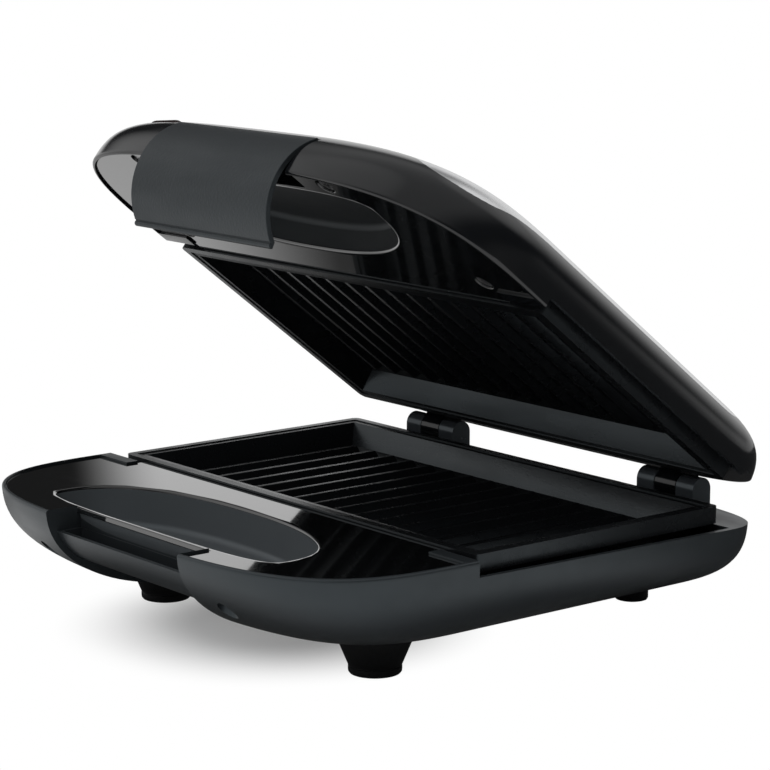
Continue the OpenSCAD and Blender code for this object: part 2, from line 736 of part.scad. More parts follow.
module thermostat() color([0.7, 0.7, 0.7]) base_frame() {
    top = rim_z - plate_gap / 2 - plate_under;
    post(0, 0, top - thermostat_h, top, thermostat_r);
    post(0, 0, top - thermostat_h - thermostat_cap_h, top - thermostat_h, thermostat_cap_r);
}

module hinge_pins() color([0.7, 0.7, 0.72]) base_frame() for (side = [-1, 1])
    hinge_bore(side, hinge_in + hinge_cap, hinge_out - hinge_in - 2 * hinge_cap, hinge_pin_r);

// Lid, drawn as it lies when closed

lid_shield_z = rim_z + plate_gap / 2 + plate_under + shield_drop;

// What the clip needs of the lid's nose, in depth and height
module clip_profile_cut(grow) {
    r = nose_r - grow;
    along = [cos(clip_slope), sin(clip_slope)];
    up = [-sin(clip_slope), cos(clip_slope)];
    centre = [-nose_y, rim_z];
    difference() {
        translate([-beyond, rim_z / 2]) square([beyond - pocket_back, 2 * rim_z]);
        translate(centre) circle(r = r, $fn = 128);
        polygon([centre + clip_gap * along, centre + clip_gap * along + beyond * up,
            centre + beyond * along + beyond * up, centre + beyond * along - beyond * up,
            centre - beyond * up]);
    }
    translate([latch_y, latch_z]) circle(r = latch_room + grow, $fn = 64);
    translate([-beyond, rim_z / 2]) square([beyond + notch_back + 0.3, 1.5 * rim_z - ledge_z + grow]);
}

module lid_ribs() {
    across(notch_half + wall) clip_profile_cut(wall);
    // Cheeks that hold the latch pin
    for (side = [0, 1]) mirror([side, 0, 0]) translate([notch_half - 1, latch_y, latch_z])
        rotate([0, 90, 0]) cylinder(r = barrel_r + 3, h = latch_pin_seat + 3, $fn = round_fn);
    block([-beyond, block_y, lid_rim], [beyond, block_y + wall, 3 * rim_z]);
    for (side = [0, 1]) mirror([side, 0, 0])
        block([deck_corner_x, -deck_corner_y, lid_rim - cut], [beyond, block_y + 1, lid_rim + shoulder_t]);
    block([-beyond, plate_y + shelf_gap, rim_z + lid_shelf_z], [beyond, beyond, rim_z + lid_shelf_z + wall]);
    posts(plate_screws, lid_shield_z + shield_t, 3 * rim_z, boss_r(true));
    posts(deck_screws, lid_deck_z + deck_stud_h, 3 * rim_z, boss_r(false));
    for (side = [-1, 1]) lid_hinge_web(side);
}

lid_hinge_at = hinge_x - hinge_barrel_w / 2;

module lid_hinge_web(side) translate([side > 0 ? lid_hinge_at : -lid_hinge_at - hinge_barrel_w, 0, 0])
    rotate([90, 0, 90]) linear_extrude(hinge_barrel_w)
        polygon([[hinge_y - hinge_r, rim_z + lid_shelf_z - 1], [hinge_y - hinge_r, rim_z + 4 * hinge_r],
            [beyond, rim_z + 4 * hinge_r], [beyond, rim_z + lid_shelf_z - 1]]);

module lid_side_cut() {
    translate([block_y, 0]) square([beyond, rim_z + lid_side_z]);
    translate([plate_y, 0]) square([beyond, rim_z + lid_shelf_z]);
}

module lid_shell() color([0.03, 0.03, 0.035]) lid_frame() difference() {
    union() {
        difference() {
            lid_form(0);
            difference() {
                lid_form(wall, cut);
                lid_ribs();
            }
            translate([0, 0, lid_rim - 18]) linear_extrude(18 + lid_deck_z + deck_t - lid_rim)
                deck_outline(lid_ring(0, rim_edge - seat), 0, seat);
            translate([0, 0, lid_deck_z]) mirror([0, 0, 1])
                pocket_form(deck_t, lid_pocket_depth + deck_t, cut);
            posts(deck_screws, lid_deck_z, lid_deck_z + deck_stud_h, boss_r(true) + seat);
            across(beyond) lid_side_cut();
        }
        for (side = [-1, 1]) translate([side > 0 ? lid_hinge_at : -lid_hinge_at - hinge_barrel_w, 0, 0]) {
            translate([0, hinge_y, hinge_z]) rotate([0, 90, 0])
                cylinder(r = hinge_r, h = hinge_barrel_w, $fn = round_fn);
            block([0, hinge_y - hinge_r, hinge_z],
                [hinge_barrel_w, hinge_y + hinge_r, rim_z + lid_shelf_z + 1]);
        }
    }
    across(notch_half) clip_profile_cut(0);
    cover_room();
    for (side = [-1, 1])
        hinge_bore(side, lid_hinge_at - cut, hinge_barrel_w + 2 * cut, hinge_pin_r + pin_clear);
    translate([-notch_half - latch_pin_seat, latch_y, latch_z]) rotate([0, 90, 0])
        cylinder(r = latch_pin_r + pin_seat, h = 2 * (notch_half + latch_pin_seat), $fn = 32);
    posts(plate_screws, lid_shield_z + screw_seat_lid, 3 * rim_z, screw_head_r + head_room);
    posts(plate_screws, lid_shield_z - cut, 3 * rim_z, screw_r + pin_clear);
    posts(deck_screws, rim_z, lid_deck_z + 2 * deck_stud_h, screw_r + pin_clear);
    lens_form();
}

// Outline of the stainless cover: a front edge that is bowed by cover_bow, and four round corners
cover_corner = 24;
cover_bow = 9;
corner_x = steel_half - cover_corner;
corner_front = cover_corner - steel_front - cover_bow;
corner_rear = steel_rear - cover_corner;

function corner_arc(x, y, start, r) = [for (i = [0:8]) let (a = start + 90 * i / 8)
    [x + r * cos(a), y + r * sin(a)]];

function cover_outline(grow) = concat(
    [for (i = [-5:5]) [corner_x * i / 6, -grow - steel_front - cover_bow * i * i / 36]],
    corner_arc(corner_x, corner_front, -90, cover_corner + grow),
    corner_arc(corner_x, corner_rear, 0, cover_corner + grow),
    corner_arc(-corner_x, corner_rear, 90, cover_corner + grow),
    corner_arc(-corner_x, corner_front, 180, cover_corner + grow));

module cover_prism(grow) translate([0, 0, rim_z + lid_h / 3])
    linear_extrude(2 * lid_h) polygon(cover_outline(grow));

module cover_room() difference() {
    cover_prism(seat);
    lid_form(steel_t, 10);
}

module lid_top_cover() color([0.8, 0.81, 0.82]) lid_frame() intersection() {
    difference() {
        lid_form(0);
        lid_form(steel_t, 10);
    }
    cover_prism(0);
}

module lid_deck() color([0.03, 0.03, 0.035]) lid_frame()
    translate([0, 0, lid_deck_z]) mirror([0, 0, 1]) deck(lid_ring(0, rim_edge), lid_pocket_depth, true);

module lid_plate() color([0.08, 0.08, 0.085]) lid_frame()
    translate([0, 0, rim_z + plate_gap / 2]) mirror([0, 0, 1]) plate_body();

module lid_heat_shield() color([0.75, 0.76, 0.77]) lid_frame()
    translate([0, 0, lid_shield_z]) mirror([0, 0, 1]) heat_shield();

module lid_element() color([0.35, 0.34, 0.33]) lid_frame()
    translate([0, 0, rim_z + plate_gap / 2]) mirror([0, 0, 1]) element_path(element_r);

module lid_plate_screws() color([0.6, 0.6, 0.6]) lid_frame()
    for (p = plate_screws) translate([p[0], p[1], lid_shield_z + screw_seat_lid]) mirror([0, 0, 1])
        screw(screw_seat_lid + shield_drop - 1);

module lid_deck_screws() color([0.6, 0.6, 0.6]) lid_frame()
    for (p = deck_screws) translate([p[0], p[1], lid_deck_z + screw_head_h + 1])
        screw(2 * deck_stud_h - screw_head_h - 2);

module thermal_fuse() color([0.85, 0.85, 0.8]) lid_frame()
    translate([0, 0, rim_z + plate_gap / 2 + plate_under]) {
        translate([-fuse_l / 2, 0, fuse_r]) rotate([0, 90, 0]) cylinder(r = fuse_r, h = fuse_l, $fn = 32);
        block([-bracket_half, -3 * fuse_r, 0], [bracket_half, -fuse_r / 2, bracket_t]);
        block([-bracket_half, -1.5 * fuse_r, 0], [bracket_half, -fuse_r / 2, 2.5 * bracket_t]);
    }

// Lens over the indicator lamps, a rounded bar let into the nose
module lens_place() translate([-lens_x, lens_inset - lid_front, rim_z + lens_up])
    rotate([0, 0, lens_turn]) children();

module lens_form() lens_place() {
    rotate([0, 90, 0]) translate([0, 0, lens_r - lens_w / 2])
        cylinder(r = lens_r, h = lens_w - 2 * lens_r, $fn = 48);
    for (side = [-1, 1]) translate([side * (lens_w / 2 - lens_r), 0, 0]) sphere(r = lens_r, $fn = 48);
}

module lamp_posts(long) lens_place() rotate([lamp_tilt, 0, 0]) for (side = [-1, 1])
    translate([side * lamp_apart, 0, 0.5]) cylinder(r = lamp_r, h = long, $fn = 24);

module lamp_lens() color([0.12, 0.06, 0.06]) lid_frame() difference() {
    lens_form();
    lamp_posts(2 * lens_r);
}

module indicator_lamps() color([0.8, 0.3, 0.1]) lid_frame() lamp_posts(lamp_l);

// Clip, drawn closed over the nose

// Curved shell over the nose, longer than the clip at both ends
module clip_band() translate([-notch_half - 2, -nose_y, rim_z]) rotate([0, 90, 0]) rotate(clip_slope - 180)
    rotate_extrude(angle = 90 + clip_under - clip_slope, $fn = 256)
        translate([clip_in, 0]) square([clip_t, 2 * notch_half + 4]);

module latch_clip() color([0.05, 0.05, 0.055]) lid_frame() difference() {
    intersection() {
        union() {
            clip_band();
            translate([-notch_half - 4, latch_y, latch_z]) rotate([0, 90, 0])
                cylinder(r = barrel_r, h = 2 * notch_half + 8, $fn = round_fn);
        }
        block([-clip_half, -beyond, 0], [clip_half, 0, 3 * rim_z]);
    }
    translate([0, latch_y, latch_z]) rotate([0, 90, 0])
        cylinder(r = latch_pin_r + pin_clear, h = 2 * notch_half, center = true, $fn = 32);
}

module latch_pin() color([0.7, 0.7, 0.72]) lid_frame()
    translate([-notch_half - latch_pin_seat, latch_y, latch_z]) rotate([0, 90, 0])
        cylinder(r = latch_pin_r, h = 2 * (notch_half + latch_pin_seat), $fn = 32);

base_shell();
base_deck();
base_plate();
base_heat_shield();
base_element();
base_plate_screws();
base_deck_screws();
front_feet();
rear_feet();
cord_gland();
terminal_block();
thermostat();
hinge_pins();
lid_shell();
lid_deck();
lid_top_cover();
lid_plate();
lid_heat_shield();
lid_element();
lid_plate_screws();
lid_deck_screws();
thermal_fuse();
lamp_lens();
indicator_lamps();
latch_clip();
latch_pin();
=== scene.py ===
# %% [markdown]
# # A sandwich toaster, dressed for its picture
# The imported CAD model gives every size. This lesson builds the skins that the eye lands on
# (moulded housings, gloss decks, coated plates, a steel cover and a grained clip) over that frame.

# %% Load the fixed frame
import math
import bmesh
import bpy
from mathutils import Matrix, Vector


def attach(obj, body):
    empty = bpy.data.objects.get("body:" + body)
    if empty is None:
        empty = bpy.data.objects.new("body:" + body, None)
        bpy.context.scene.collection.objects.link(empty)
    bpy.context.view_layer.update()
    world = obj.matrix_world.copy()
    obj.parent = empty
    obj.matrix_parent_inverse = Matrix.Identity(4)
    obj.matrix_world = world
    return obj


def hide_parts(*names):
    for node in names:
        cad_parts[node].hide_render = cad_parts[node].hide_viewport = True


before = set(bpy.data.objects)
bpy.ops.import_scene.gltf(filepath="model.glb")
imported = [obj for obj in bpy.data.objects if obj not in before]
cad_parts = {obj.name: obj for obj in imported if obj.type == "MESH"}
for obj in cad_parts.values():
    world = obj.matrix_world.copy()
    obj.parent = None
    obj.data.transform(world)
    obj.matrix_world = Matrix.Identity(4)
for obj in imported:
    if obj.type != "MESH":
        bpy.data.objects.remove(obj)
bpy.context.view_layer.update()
print("nodes in the frame:", len(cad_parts))

# %% [markdown]
# ## The sizes that the skins share
# A moulded product is drawn around a few datum heights. These are the same millimetres as in the
# CAD source, so that each skin lies on the solid it stands for.

# %% Shared sizes, in millimetres
RIM_Z, RIM_GAP, RIM_LIP, RIM_EDGE = 54.2, 0.7, 0.9, 1.5
BASE_RIM, LID_RIM = RIM_Z - RIM_GAP / 2, RIM_Z + RIM_GAP / 2
BASE_DECK, LID_DECK = BASE_RIM - RIM_LIP, LID_RIM + RIM_LIP
HINGE_X, HINGE_Y, HINGE_Z, HINGE_R = 76.5, 80.3, 53.9, 5.2
BLOCK_Y, WALL = -69.0, 2.4
PAST, FAR = 200.0, 250.0
print("decks at", BASE_DECK, "and", LID_DECK)

# %% [markdown]
# ## From closed millimetres to open metres
# Every piece is modelled the way it lies when the toaster is shut, in millimetres, because that is
# how the mould maker sees it. One matrix puts base pieces in place, and another swings lid pieces
# open about the hinge. The matrix goes into the mesh, so each finished object sits at the origin.

# %% Matrices for the base and the lid
BACK, OPEN = 27.9, 37.7
MM = Matrix.Scale(0.001, 4)
TO_BASE = MM @ Matrix.Translation((0, BACK, 0))
TO_LID = (MM @ Matrix.Translation((0, BACK + HINGE_Y, HINGE_Z))
          @ Matrix.Rotation(math.radians(-OPEN), 4, "X") @ Matrix.Translation((0, -HINGE_Y, -HINGE_Z)))
print("front of the open lid, in metres:", [round(v, 4) for v in TO_LID @ Vector((0, -148, 55))])


def place(name, bm, matrix, body, *nodes, smooth=35):
    """Turns a bmesh into a finished piece that rides on a body and stands for CAD nodes."""
    mesh = bpy.data.meshes.new(name)
    bmesh.ops.recalc_face_normals(bm, faces=bm.faces)
    bm.transform(matrix)
    bm.to_mesh(mesh)
    bm.free()
    piece = bpy.data.objects.new(name, mesh)
    bpy.context.scene.collection.objects.link(piece)
    mesh.shade_smooth()
    mesh.set_sharp_from_angle(angle=math.radians(smooth))
    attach(piece, body)
    if nodes:
        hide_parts(*nodes)
    print(name, "faces:", len(mesh.polygons))
    return piece


# %% [markdown]
# ## A ring that is neither a circle nor a box
# The housings are squared-off ellipses: a front end and a back end with different squareness. A ring
# starts as a plain circle from an operator, and each vertex is pulled out to the squarer curve.

# %% Rings and lofts
def pull(t, p):
    return math.copysign(abs(t) ** (2 / p), t)


def ring(bm, z, half, front, rear, knee_front, knee_rear, p_front, p_rear, count=128):
    """A closed outline at one height, straight between its knees and squared at its ends."""
    made = bmesh.ops.create_circle(bm, segments=count, radius=1.0, cap_ends=False)["verts"]
    for v in made:
        a = math.atan2(v.co.y, v.co.x)
        c, s = math.cos(a), math.sin(a)
        if s >= 0:
            p, y = p_rear, knee_rear + (rear - knee_rear) * pull(s, p_rear)
        else:
            p, y = p_front, -knee_front + (front - knee_front) * pull(s, p_front)
        v.co = (half * pull(c, p), y, z)
    return made


def loft(bm, rings):
    """Joins neighbouring rings with faces, and closes the two ends, with the edges in the same order each run."""
    loops = []
    for verts in rings:
        inside = set(verts)
        edges = [e for v in verts for e in v.link_edges if e.verts[0] in inside and e.verts[1] in inside]
        loops.append(list(dict.fromkeys(edges)))
    for a, b in zip(loops, loops[1:]):
        bmesh.ops.bridge_loops(bm, edges=a + b)
    for end in (loops[0], loops[-1]):
        bmesh.ops.contextual_create(bm, geom=end)
    bmesh.ops.recalc_face_normals(bm, faces=bm.faces)


def reach(s, p):
    return max(0.0, 1 - s ** p) ** (1 / p)


# %% [markdown]
# ## Housing profiles
# Seen from the side, each housing swells out from its rim and turns under. The share of the height
# decides how far the outline reaches, which is the same rule as in the CAD source.

# %% Rings of the base and of the lid
HALF_W = 125.0
BASE_FRONT, BASE_REAR, BASE_H = 151.5, 91.0, 40.5
LID_FRONT, LID_REAR, LID_H = 148.2, 86.0, 36.4
BASE_FLAT_FRONT, BASE_FLAT_REAR, LID_FLAT = 75.0, 46.0, 30.0
BASE_KNEE, LID_KNEE, REAR_KNEE = 0.45, 0.46, 0.58
FRONT_SQUARE, REAR_SQUARE = 3.6, 5.0
SIDE_SWELL, NOSE_SWELL, SWELL, LID_SIDE_SWELL = 3.75, 2.05, 3, 3.5
BASE_TURN, LID_TURN, EDGE_STEPS = 78, 84, 4


def base_ring(bm, s, z, inset=0.0):
    """An outline of the base: s is 0 at the rim and 1 where the profile ends."""
    front = BASE_FLAT_FRONT + (BASE_FRONT - inset - BASE_FLAT_FRONT) * reach(s, NOSE_SWELL)
    rear = BASE_FLAT_REAR + (BASE_REAR - inset - BASE_FLAT_REAR) * reach(s, SWELL)
    return ring(bm, z, (HALF_W - inset) * reach(s, SIDE_SWELL), front, rear,
                BASE_KNEE * front, REAR_KNEE * rear, FRONT_SQUARE, REAR_SQUARE)


def lid_ring(bm, s, z, inset=0.0):
    """An outline of the lid, by the same rule."""
    front = LID_FLAT + (LID_FRONT - inset - LID_FLAT) * reach(s, SWELL)
    rear = LID_FLAT + (LID_REAR - inset - LID_FLAT) * reach(s, SWELL)
    return ring(bm, z, (HALF_W - inset) * reach(s, LID_SIDE_SWELL), front, rear,
                LID_KNEE * front, REAR_KNEE * rear, FRONT_SQUARE, REAR_SQUARE)


def steps(last, count):
    return [last * i / count for i in range(count + 1)]


def rounded(size, i):
    """How far step i of a rounded edge lies below the rim, and how far in."""
    t = math.radians(90 * i / EDGE_STEPS)
    return size * (1 - math.sin(t)), size * (1 - math.cos(t))


def base_form(inset=0.0, over=0.0, round_edge=0.0):
    bm = bmesh.new()
    height = BASE_H - inset
    sines = [math.sin(math.radians(a)) for a in reversed(steps(BASE_TURN, 26))]
    rings = [base_ring(bm, s, BASE_RIM - height * s, inset) for s in sines]
    if round_edge:
        bmesh.ops.delete(bm, geom=rings.pop(), context="VERTS")
        for i in range(EDGE_STEPS + 1):
            down, inward = rounded(round_edge, i)
            rings.append(base_ring(bm, 0, BASE_RIM - down, inset + inward))
    if over:
        rings.append(base_ring(bm, 0, BASE_RIM + over, inset))
    loft(bm, rings)
    return bm


def lid_form(inset=0.0, under=0.0, round_edge=0.0):
    bm = bmesh.new()
    height = LID_H - inset
    sines = [math.sin(math.radians(a)) for a in steps(LID_TURN, 28)]
    rings = [lid_ring(bm, s, LID_RIM + height * s, inset) for s in sines]
    if round_edge:
        bmesh.ops.delete(bm, geom=rings.pop(0), context="VERTS")
        for i in range(EDGE_STEPS + 1):
            up, inward = rounded(round_edge, i)
            rings.insert(0, lid_ring(bm, 0, LID_RIM + up, inset + inward))
    if under:
        rings.insert(0, lid_ring(bm, 0, LID_RIM - under, inset))
    loft(bm, rings)
    return bm


# %% [markdown]
# ## Cutting one form with another
# A mould is mostly one big form with smaller forms taken out of it. The Boolean modifier does that,
# and its result is read back into a fresh bmesh so that the next step can go on.

# %% Helpers for cutting
def held(bm, name="cutter"):
    mesh = bpy.data.meshes.new(name)
    bm.to_mesh(mesh)
    bm.free()
    ob = bpy.data.objects.new(name, mesh)
    bpy.context.scene.collection.objects.link(ob)
    return ob


def drop(ob):
    mesh = ob.data
    bpy.data.objects.remove(ob)
    bpy.data.meshes.remove(mesh)


def carve(bm, *cuts):
    """Applies ("DIFFERENCE" | "UNION" | "INTERSECT", bmesh) cuts in turn."""
    body = held(bm, "blank")
    for kind, tool_bm in cuts:
        tool = held(tool_bm)
        mod = body.modifiers.new("cut", "BOOLEAN")
        mod.operation, mod.solver, mod.object = kind, "EXACT", tool
        shaped = bpy.data.meshes.new_from_object(body.evaluated_get(bpy.context.evaluated_depsgraph_get()))
        body.modifiers.clear()
        old, body.data = body.data, shaped
        bpy.data.meshes.remove(old)
        drop(tool)
    out = bmesh.new()
    out.from_mesh(body.data)
    drop(body)
    bmesh.ops.remove_doubles(out, verts=out.verts, dist=0.002)
    return out


def box(low, high):
    bm = bmesh.new()
    bmesh.ops.create_cube(bm, size=1.0)
    low, high = Vector(low), Vector(high)
    bmesh.ops.scale(bm, vec=high - low, verts=bm.verts)
    bmesh.ops.translate(bm, vec=(low + high) / 2, verts=bm.verts)
    return bm


def rod(radius, start, end, segments=48):
    """A round bar between two points."""
    bm = bmesh.new()
    a, b = Vector(start), Vector(end)
    bmesh.ops.create_cone(bm, cap_ends=True, segments=segments, radius1=radius, radius2=radius, depth=(b - a).length)
    turn = Vector((0, 0, 1)).rotation_difference(b - a).to_matrix().to_4x4()
    bm.transform(Matrix.Translation((a + b) / 2) @ turn)
    return bm


def push(bm, face, step):
    """Extrudes one face into a bar."""
    out = bmesh.ops.extrude_face_region(bm, geom=[face])["geom"]
    bmesh.ops.translate(bm, vec=step, verts=[g for g in out if isinstance(g, bmesh.types.BMVert)])


def prism(points, half, start=None):
    """A bar along X whose side view (depth, height) is the outline given."""
    bm = bmesh.new()
    left = -half if start is None else start
    face = bm.faces.new([bm.verts.new((left, y, z)) for y, z in points])
    push(bm, face, (2 * half, 0, 0))
    bmesh.ops.recalc_face_normals(bm, faces=bm.faces)
    return bm


def arc(centre, radius, start, end, count):
    """Points on a circle in the side view, with angles in degrees from +Y towards +Z."""
    angles = [math.radians(start + (end - start) * i / count) for i in range(count + 1)]
    return [(centre[0] + radius * math.cos(a), centre[1] + radius * math.sin(a)) for a in angles]


# %% [markdown]
# ## Base housing
# On the real toaster this is one moulding: a boat-like dish with a solid-looking front block. Here
# a rounded loft gives the outside, and the tray bay, the deck rebate, the clip notch and the
# screw recesses are taken out of it, just as a mould core would leave them empty. Behind the sill of
# the notch lies a shallow trough, which makes the wall behind it look tall and dark.

# %% Sizes of the decks, the pockets and the notch
DECK_HALF, DECK_BACK, DECK_WING = 102.0, -65.6, -75.0
POCKET_HALF, POCKET_FRONT, POCKET_REAR, KNEE_SHARE = 77.0, 133.5, 85.0, 0.24
BASE_POCKET, LID_POCKET, LEAN, FILLET, SKIN = 16.0, 10.5, 3.5, 3.0, 2.2
NOTCH, NOSE_R, LEDGE_Z, UNDER_SLOPE = 46.0, 26.0, 44.6, 25
NOSE = (-121.5, RIM_Z)
NOTCH_BACK, CUP_FACE = -136.1, -134.4
LEDGE_TURN = math.degrees(math.asin((RIM_Z - LEDGE_Z) / NOSE_R))
POCKET_SQUARE, POCKET_ROUND = 3.5, 2.35
TROUGH_WALL, TROUGH_FROM, TROUGH_TO, TROUGH_END = 2, 236, 200, 1.2
SHELF_Z, SHELF_DROP, CLEAR_TOP = 47.3, 2.3, 110
print("the ledge meets the nose", round(LEDGE_TURN, 1), "degrees below its middle")


# %% Tools that shape the base
def deck_tool(ring_of, inset, z, height, grow, corner=0.0):
    """The outline of a gloss deck as a bar of the given height."""
    bm = bmesh.new()
    loft(bm, [ring_of(bm, 0, z, inset), ring_of(bm, 0, z + height, inset)])
    keep = carve(box((-PAST, -PAST, z - 1), (PAST, DECK_WING + grow, z + height + 1)),
                 ("UNION", box((-DECK_HALF - grow, -100, z - 1), (DECK_HALF + grow, DECK_BACK + grow, z + height + 1))))
    room = NOTCH + corner
    return carve(bm, ("INTERSECT", keep),
                 ("DIFFERENCE", box((-room, -PAST, z - 2), (room, NOTCH_BACK + 0.1, z + height + 2))))


def pocket_tool(grow, depth, over, top, sign=-1, rim=0.0):
    """The D-shaped finger pocket: a lip, a wall that leans a little, and a filleted floor."""
    turns = [math.radians(a) for a in range(90, -1, -15)]
    shape = [(-depth + FILLET * (1 - math.sin(a)), grow - 0.8 * LEAN - (0.2 * LEAN + FILLET) * (1 - math.cos(a)))
             for a in turns]
    shape += [(-rim - 1.0, grow), (-rim, grow)]
    if rim:
        turns = [math.radians(a) for a in (30, 60, 90)]
        shape += [(-rim * (1 - math.sin(a)), grow + rim * (1 - math.cos(a))) for a in turns]
    shape.append((over, grow + rim))
    bm = bmesh.new()
    knee = POCKET_FRONT - KNEE_SHARE * (POCKET_FRONT - POCKET_REAR)
    rings = [ring(bm, top - sign * h, POCKET_HALF + g, POCKET_FRONT + g, -POCKET_REAR + g,
                  knee, -knee, POCKET_SQUARE, POCKET_ROUND) for h, g in shape]
    loft(bm, rings if sign < 0 else rings[::-1])
    return bm


def notch_tool():
    """What the clip and a finger need at the nose of the base."""
    under = math.radians(UNDER_SLOPE)
    low = (NOSE[0] - NOSE_R * math.sin(under), NOSE[1] - NOSE_R * math.cos(under))
    run = (low[1] + 1) / math.tan(under)
    side = [(-FAR, -1), (low[0] + run, -1)] + arc(NOSE, NOSE_R, 270 - UNDER_SLOPE, 180 + LEDGE_TURN, 24)
    side += [(CUP_FACE, LEDGE_Z), (CUP_FACE, 108), (-FAR, 108)]
    return prism(side, NOTCH)


def trough_tool():
    """The dip behind the sill of the notch, which leaves a wall of even thickness in front."""
    side = [(CUP_FACE - 0.5, LEDGE_Z + 1.4)] + arc(NOSE, NOSE_R - TROUGH_WALL, TROUGH_FROM, TROUGH_TO, 16)
    return prism(side, NOTCH - TROUGH_END)


def side_tool():
    """The low shelves beside the plates, which fall a little towards the back."""
    slope = SHELF_DROP / (BASE_REAR - BLOCK_Y)
    back = SHELF_Z - slope * (FAR - BLOCK_Y)
    return prism([(BLOCK_Y, SHELF_Z), (FAR, back), (FAR, CLEAR_TOP), (BLOCK_Y, CLEAR_TOP)], FAR)


def knuckle(root, start, end):
    """The side view of a hinge knuckle: a round end on a square root."""
    bend = arc((HINGE_Y, HINGE_Z), HINGE_R, start, end, 24)
    return [(HINGE_Y - HINGE_R, root)] + bend + [(HINGE_Y + HINGE_R, root)]


# %% Carve and round the base housing
EAR_W, EARS_FROM, EAR_ROOT = 10.0, (-16.5, 6.5), 40.0
BAY_BACK, LOW_BAY_TOP = 66.6, 42.6
GLAND_Z, GLAND_BOSS, GLAND_BORE = 31, 9.5, 6.5
DECK_SCREWS, PLATE_SCREWS = ((62, -139), (98, -79)), ((88, -47), (88, 47))
RECESS_R, DECK_RECESS, PLATE_RECESS = 4.0, 43.95, 30.0


def base_housing():
    bay = carve(base_form(inset=WALL, over=5),
                ("INTERSECT", box((-PAST, BLOCK_Y + WALL, 0), (PAST, BAY_BACK, 80))))
    rear_bay = carve(base_form(inset=WALL), ("INTERSECT", box((-PAST, 66.0, 0), (PAST, PAST, LOW_BAY_TOP))))
    cuts = [("DIFFERENCE", bay), ("DIFFERENCE", rear_bay),
            ("DIFFERENCE", deck_tool(base_ring, RIM_EDGE - 0.2, BASE_DECK - 2.3, 8, 0.2)),
            ("DIFFERENCE", pocket_tool(SKIN, BASE_POCKET + SKIN, 1, BASE_DECK)),
            ("DIFFERENCE", side_tool())]
    for side in (-1, 1):
        for start in EARS_FROM:
            low = min(side * (HINGE_X + start), side * (HINGE_X + start + EAR_W))
            cuts.append(("UNION", prism(knuckle(EAR_ROOT, 180, 0), EAR_W / 2, low)))
    cuts += [("UNION", rod(GLAND_BOSS, (0, 85, GLAND_Z), (0, 92, GLAND_Z))),
             ("DIFFERENCE", rod(GLAND_BORE, (0, 60, GLAND_Z), (0, 120, GLAND_Z))),
             ("DIFFERENCE", notch_tool()), ("DIFFERENCE", trough_tool())]
    recesses = [(x, y, DECK_RECESS) for x, y in DECK_SCREWS] + [(x, y, PLATE_RECESS) for x, y in PLATE_SCREWS]
    for side in (-1, 1):
        for x, y, top in recesses:
            cuts.append(("DIFFERENCE", rod(RECESS_R, (side * x, y, 0), (side * x, y, top))))
    return carve(base_form(round_edge=1.2), *cuts)


def soften(piece, width, segments=2, angle=32):
    """Rounds every crease by the small radius that a mould leaves, with the shading kept flat beside it."""
    mod = piece.modifiers.new("mould radius", "BEVEL")
    mod.width, mod.segments = width * 0.001, segments
    mod.limit_method, mod.angle_limit = "ANGLE", math.radians(angle)
    mod.use_clamp_overlap = True
    mod.harden_normals = True
    return piece


housing = place("base_housing", base_housing(), TO_BASE, "base", "base_shell")
soften(housing, 0.45)

# %% [markdown]
# ## Gloss decks
# Both front blocks wear a thin piano-black deck with a finger pocket pressed into it. The pocket has
# a rolled lip, because a sharp one would look cut out rather than moulded.

# %% Decks of the base and the lid
def deck_piece(ring_of, z, depth, sign):
    low = z - SKIN if sign < 0 else z
    plate = deck_tool(ring_of, RIM_EDGE, low, SKIN, 0.0, corner=0.6)
    cup = pocket_tool(SKIN, depth + SKIN, -0.4, z, sign)
    return carve(plate, ("UNION", cup), ("DIFFERENCE", pocket_tool(0.0, depth, 4, z, sign, rim=1.1)))


base_blank = deck_piece(base_ring, BASE_DECK, BASE_POCKET, -1)
base_gloss = place("base_gloss_deck", base_blank, TO_BASE, "base", "base_deck")
soften(base_gloss, 0.4)
lid_blank = deck_piece(lid_ring, LID_DECK, LID_POCKET, 1)
screw_holes = [("DIFFERENCE", rod(RECESS_R, (side * x, y, LID_DECK - 1), (side * x, y, LID_DECK + 3.4)))
               for x, y in DECK_SCREWS for side in (-1, 1)]
lid_gloss = place("lid_gloss_deck", carve(lid_blank, *screw_holes), TO_LID, "lid", "lid_deck")
soften(lid_gloss, 0.4)

# %% [markdown]
# ## Lid housing
# The lid is a deeper bowl, upside down. Its nose is cut back to a plain cylinder so that the clip can
# wrap round it, and its crown is let down by the thickness of the steel cover.

# %% Tools that shape the lid
CLIP_SLOPE, CLIP_START = 45, 135
BARREL_W, BARREL_ROOT = 12.0, 8.2
SIDE_STEP, REAR_STEP, REAR_FROM = 4.8, 7.2, 65
COVER_HALF, COVER_FRONT, COVER_REAR, COVER_CORNER, COVER_BOW, COVER_T = 93.5, 119.0, 70.0, 24.0, 9.0, 0.8
LENS_AT, LENS_TURN = (-64, -134.5, RIM_Z + 19.6), -8


def slope_point(centre, along, up):
    """A point given along and above the slope at which the upper end of the clip lies."""
    a = math.radians(CLIP_SLOPE)
    return (centre[0] + along * math.cos(a) - up * math.sin(a), centre[1] + along * math.sin(a) + up * math.cos(a))


LATCH = slope_point(NOSE, -3.0, 25.1)
print("clip axis when shut:", [round(v, 2) for v in LATCH])


